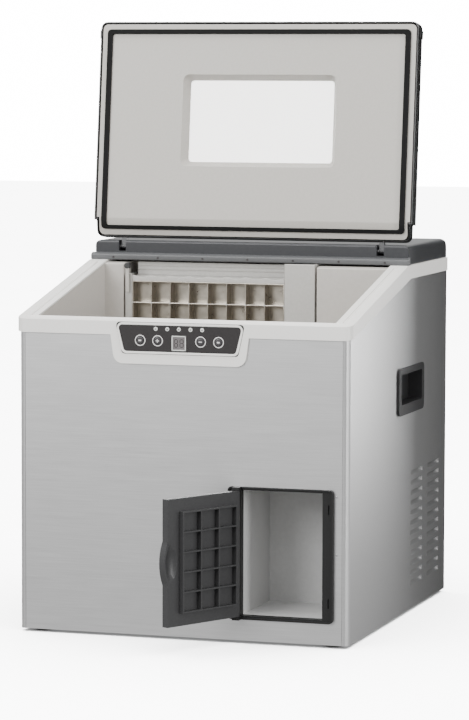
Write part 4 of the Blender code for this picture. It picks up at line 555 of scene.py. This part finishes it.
select_nothing()
bpy.ops.mesh.primitive_plane_add(size=FLOOR_SIZE)
floor = bpy.context.object
floor.name = "studio_floor"
floor.visible_diffuse = False
floor.visible_glossy = False
floor.data.materials.append(
    finish("studio_floor", (0.90, 0.90, 0.90), (0.885, 0.885, 0.885), 0.7, grain=3, bump=0)
)

BACKDROP = 16.0  # brightness of what shows past the object
THROUGH_PANE = 3.6  # brightness behind the clear window
DIM, BRIGHT = 0.55, 1.05  # the room's own light, from below and from above
SLOPE = 0.35  # how far down or up a direction points where the room is dimmest or brightest

world = bpy.data.worlds.new("studio")
bpy.context.scene.world = world
world.use_nodes = True
room = world.node_tree
sky = room.nodes["Background"]
sky.inputs["Color"].default_value = (1, 1, 1, 1)
path = room.nodes.new("ShaderNodeLightPath")
direction = room.nodes.new("ShaderNodeTexCoord")
parts = room.nodes.new("ShaderNodeSeparateXYZ")
rise = room.nodes.new("ShaderNodeMapRange")
for key, value in {"From Min": -SLOPE, "From Max": SLOPE, "To Min": DIM, "To Max": BRIGHT}.items():
    rise.inputs[key].default_value = value
through = room.nodes.new("ShaderNodeMix")
through.inputs["B"].default_value = THROUGH_PANE
straight = room.nodes.new("ShaderNodeMix")
straight.inputs["B"].default_value = BACKDROP
for start, end in (
    (direction.outputs["Generated"], parts.inputs["Vector"]),
    (parts.outputs["Z"], rise.inputs["Value"]),
    (rise.outputs["Result"], through.inputs["A"]),
    (path.outputs["Is Transmission Ray"], through.inputs["Factor"]),
    (through.outputs["Result"], straight.inputs["A"]),
    (path.outputs["Is Camera Ray"], straight.inputs["Factor"]),
    (straight.outputs["Result"], sky.inputs["Strength"]),
):
    room.links.new(start, end)


# --- lamps --------------------------------------------------------------------------------------

MIDDLE = (0, 0, 0.35)


def lamp(name, place, size, power, aim=MIDDLE):
    """A soft rectangular lamp, which the camera doesn't see."""
    data = bpy.data.lights.new(name, "AREA")
    data.shape = "RECTANGLE"
    data.size, data.size_y = size
    data.energy = power
    thing = bpy.data.objects.new(name, data)
    bpy.context.scene.collection.objects.link(thing)
    thing.location = place
    thing.visible_camera = False
    thing.rotation_euler = (Vector(aim) - Vector(place)).to_track_quat("-Z", "Y").to_euler()


lamp("key_left", place=(-1.6, -3.6, 1.9), size=(2.0, 1.6), power=145)
lamp("rear_strip", place=(1.7, 4.7, 0.9), size=(1.6, 2.4), power=110, aim=(0.2, 0, 0.35))
lamp("side_strip", place=(3.4, -1.2, 0.8), size=(0.6, 1.6), power=60)
lamp("overhead", place=(0, -0.2, 3.0), size=(2.5, 2.0), power=95)

# a dark flag behind the object, which shows in reflections and stops the lamps' light
FLAG_PLACE = (0.345, 0.62, 0.30)
FLAG_WIDTH, FLAG_HEIGHT = 0.24, 1.4

select_nothing()
bpy.ops.mesh.primitive_plane_add(size=1, location=FLAG_PLACE, rotation=UPRIGHT_TO_FRONT)
flag = bpy.context.object
flag.name = "studio_flag"
flag.scale = (FLAG_WIDTH, FLAG_HEIGHT, 1)
flag.visible_camera = False
flag.visible_diffuse = False
flag.data.materials.append(finish("studio_flag", (0.01, 0.01, 0.01), (0.009, 0.009, 0.009), 0.9, bump=0))

# a wide sun that lights the floor alone and isn't stopped by the flag
WASH_STRENGTH, WASH_SPREAD = 30, radians(100)

only_floor = bpy.data.collections.new("only_floor")
only_floor.objects.link(floor)
not_flag = bpy.data.collections.new("not_flag")
not_flag.objects.link(flag)
not_flag.collection_objects[0].light_linking.link_state = "EXCLUDE"
wash = bpy.data.objects.new("floor_wash", bpy.data.lights.new("floor_wash", "SUN"))
wash.data.energy = WASH_STRENGTH
wash.data.angle = WASH_SPREAD
wash.light_linking.receiver_collection = only_floor
wash.light_linking.blocker_collection = not_flag
bpy.context.scene.collection.objects.link(wash)


# --- camera -------------------------------------------------------------------------------------

YAW, PITCH, ROLL = radians(17.76), radians(5.10), radians(0.15)
ASIDE, AHEAD, HEIGHT = 1.2969, 3.8354, 0.711
LENS, SENSOR = 164.8, 36  # millimetres
FARTHEST = 100

view = bpy.data.cameras.new("camera")
view.lens = LENS
view.sensor_width = SENSOR
view.clip_end = FARTHEST
camera = bpy.data.objects.new("camera", view)
bpy.context.scene.collection.objects.link(camera)
tilt = Matrix.Rotation(radians(90) - PITCH, 4, "X") @ Matrix.Rotation(ROLL, 4, "Z")
turn = Matrix.Rotation(YAW, 4, "Z") @ tilt
camera.matrix_world = Matrix.Translation((ASIDE, FRONT - AHEAD, HEIGHT)) @ turn
bpy.context.scene.camera = camera
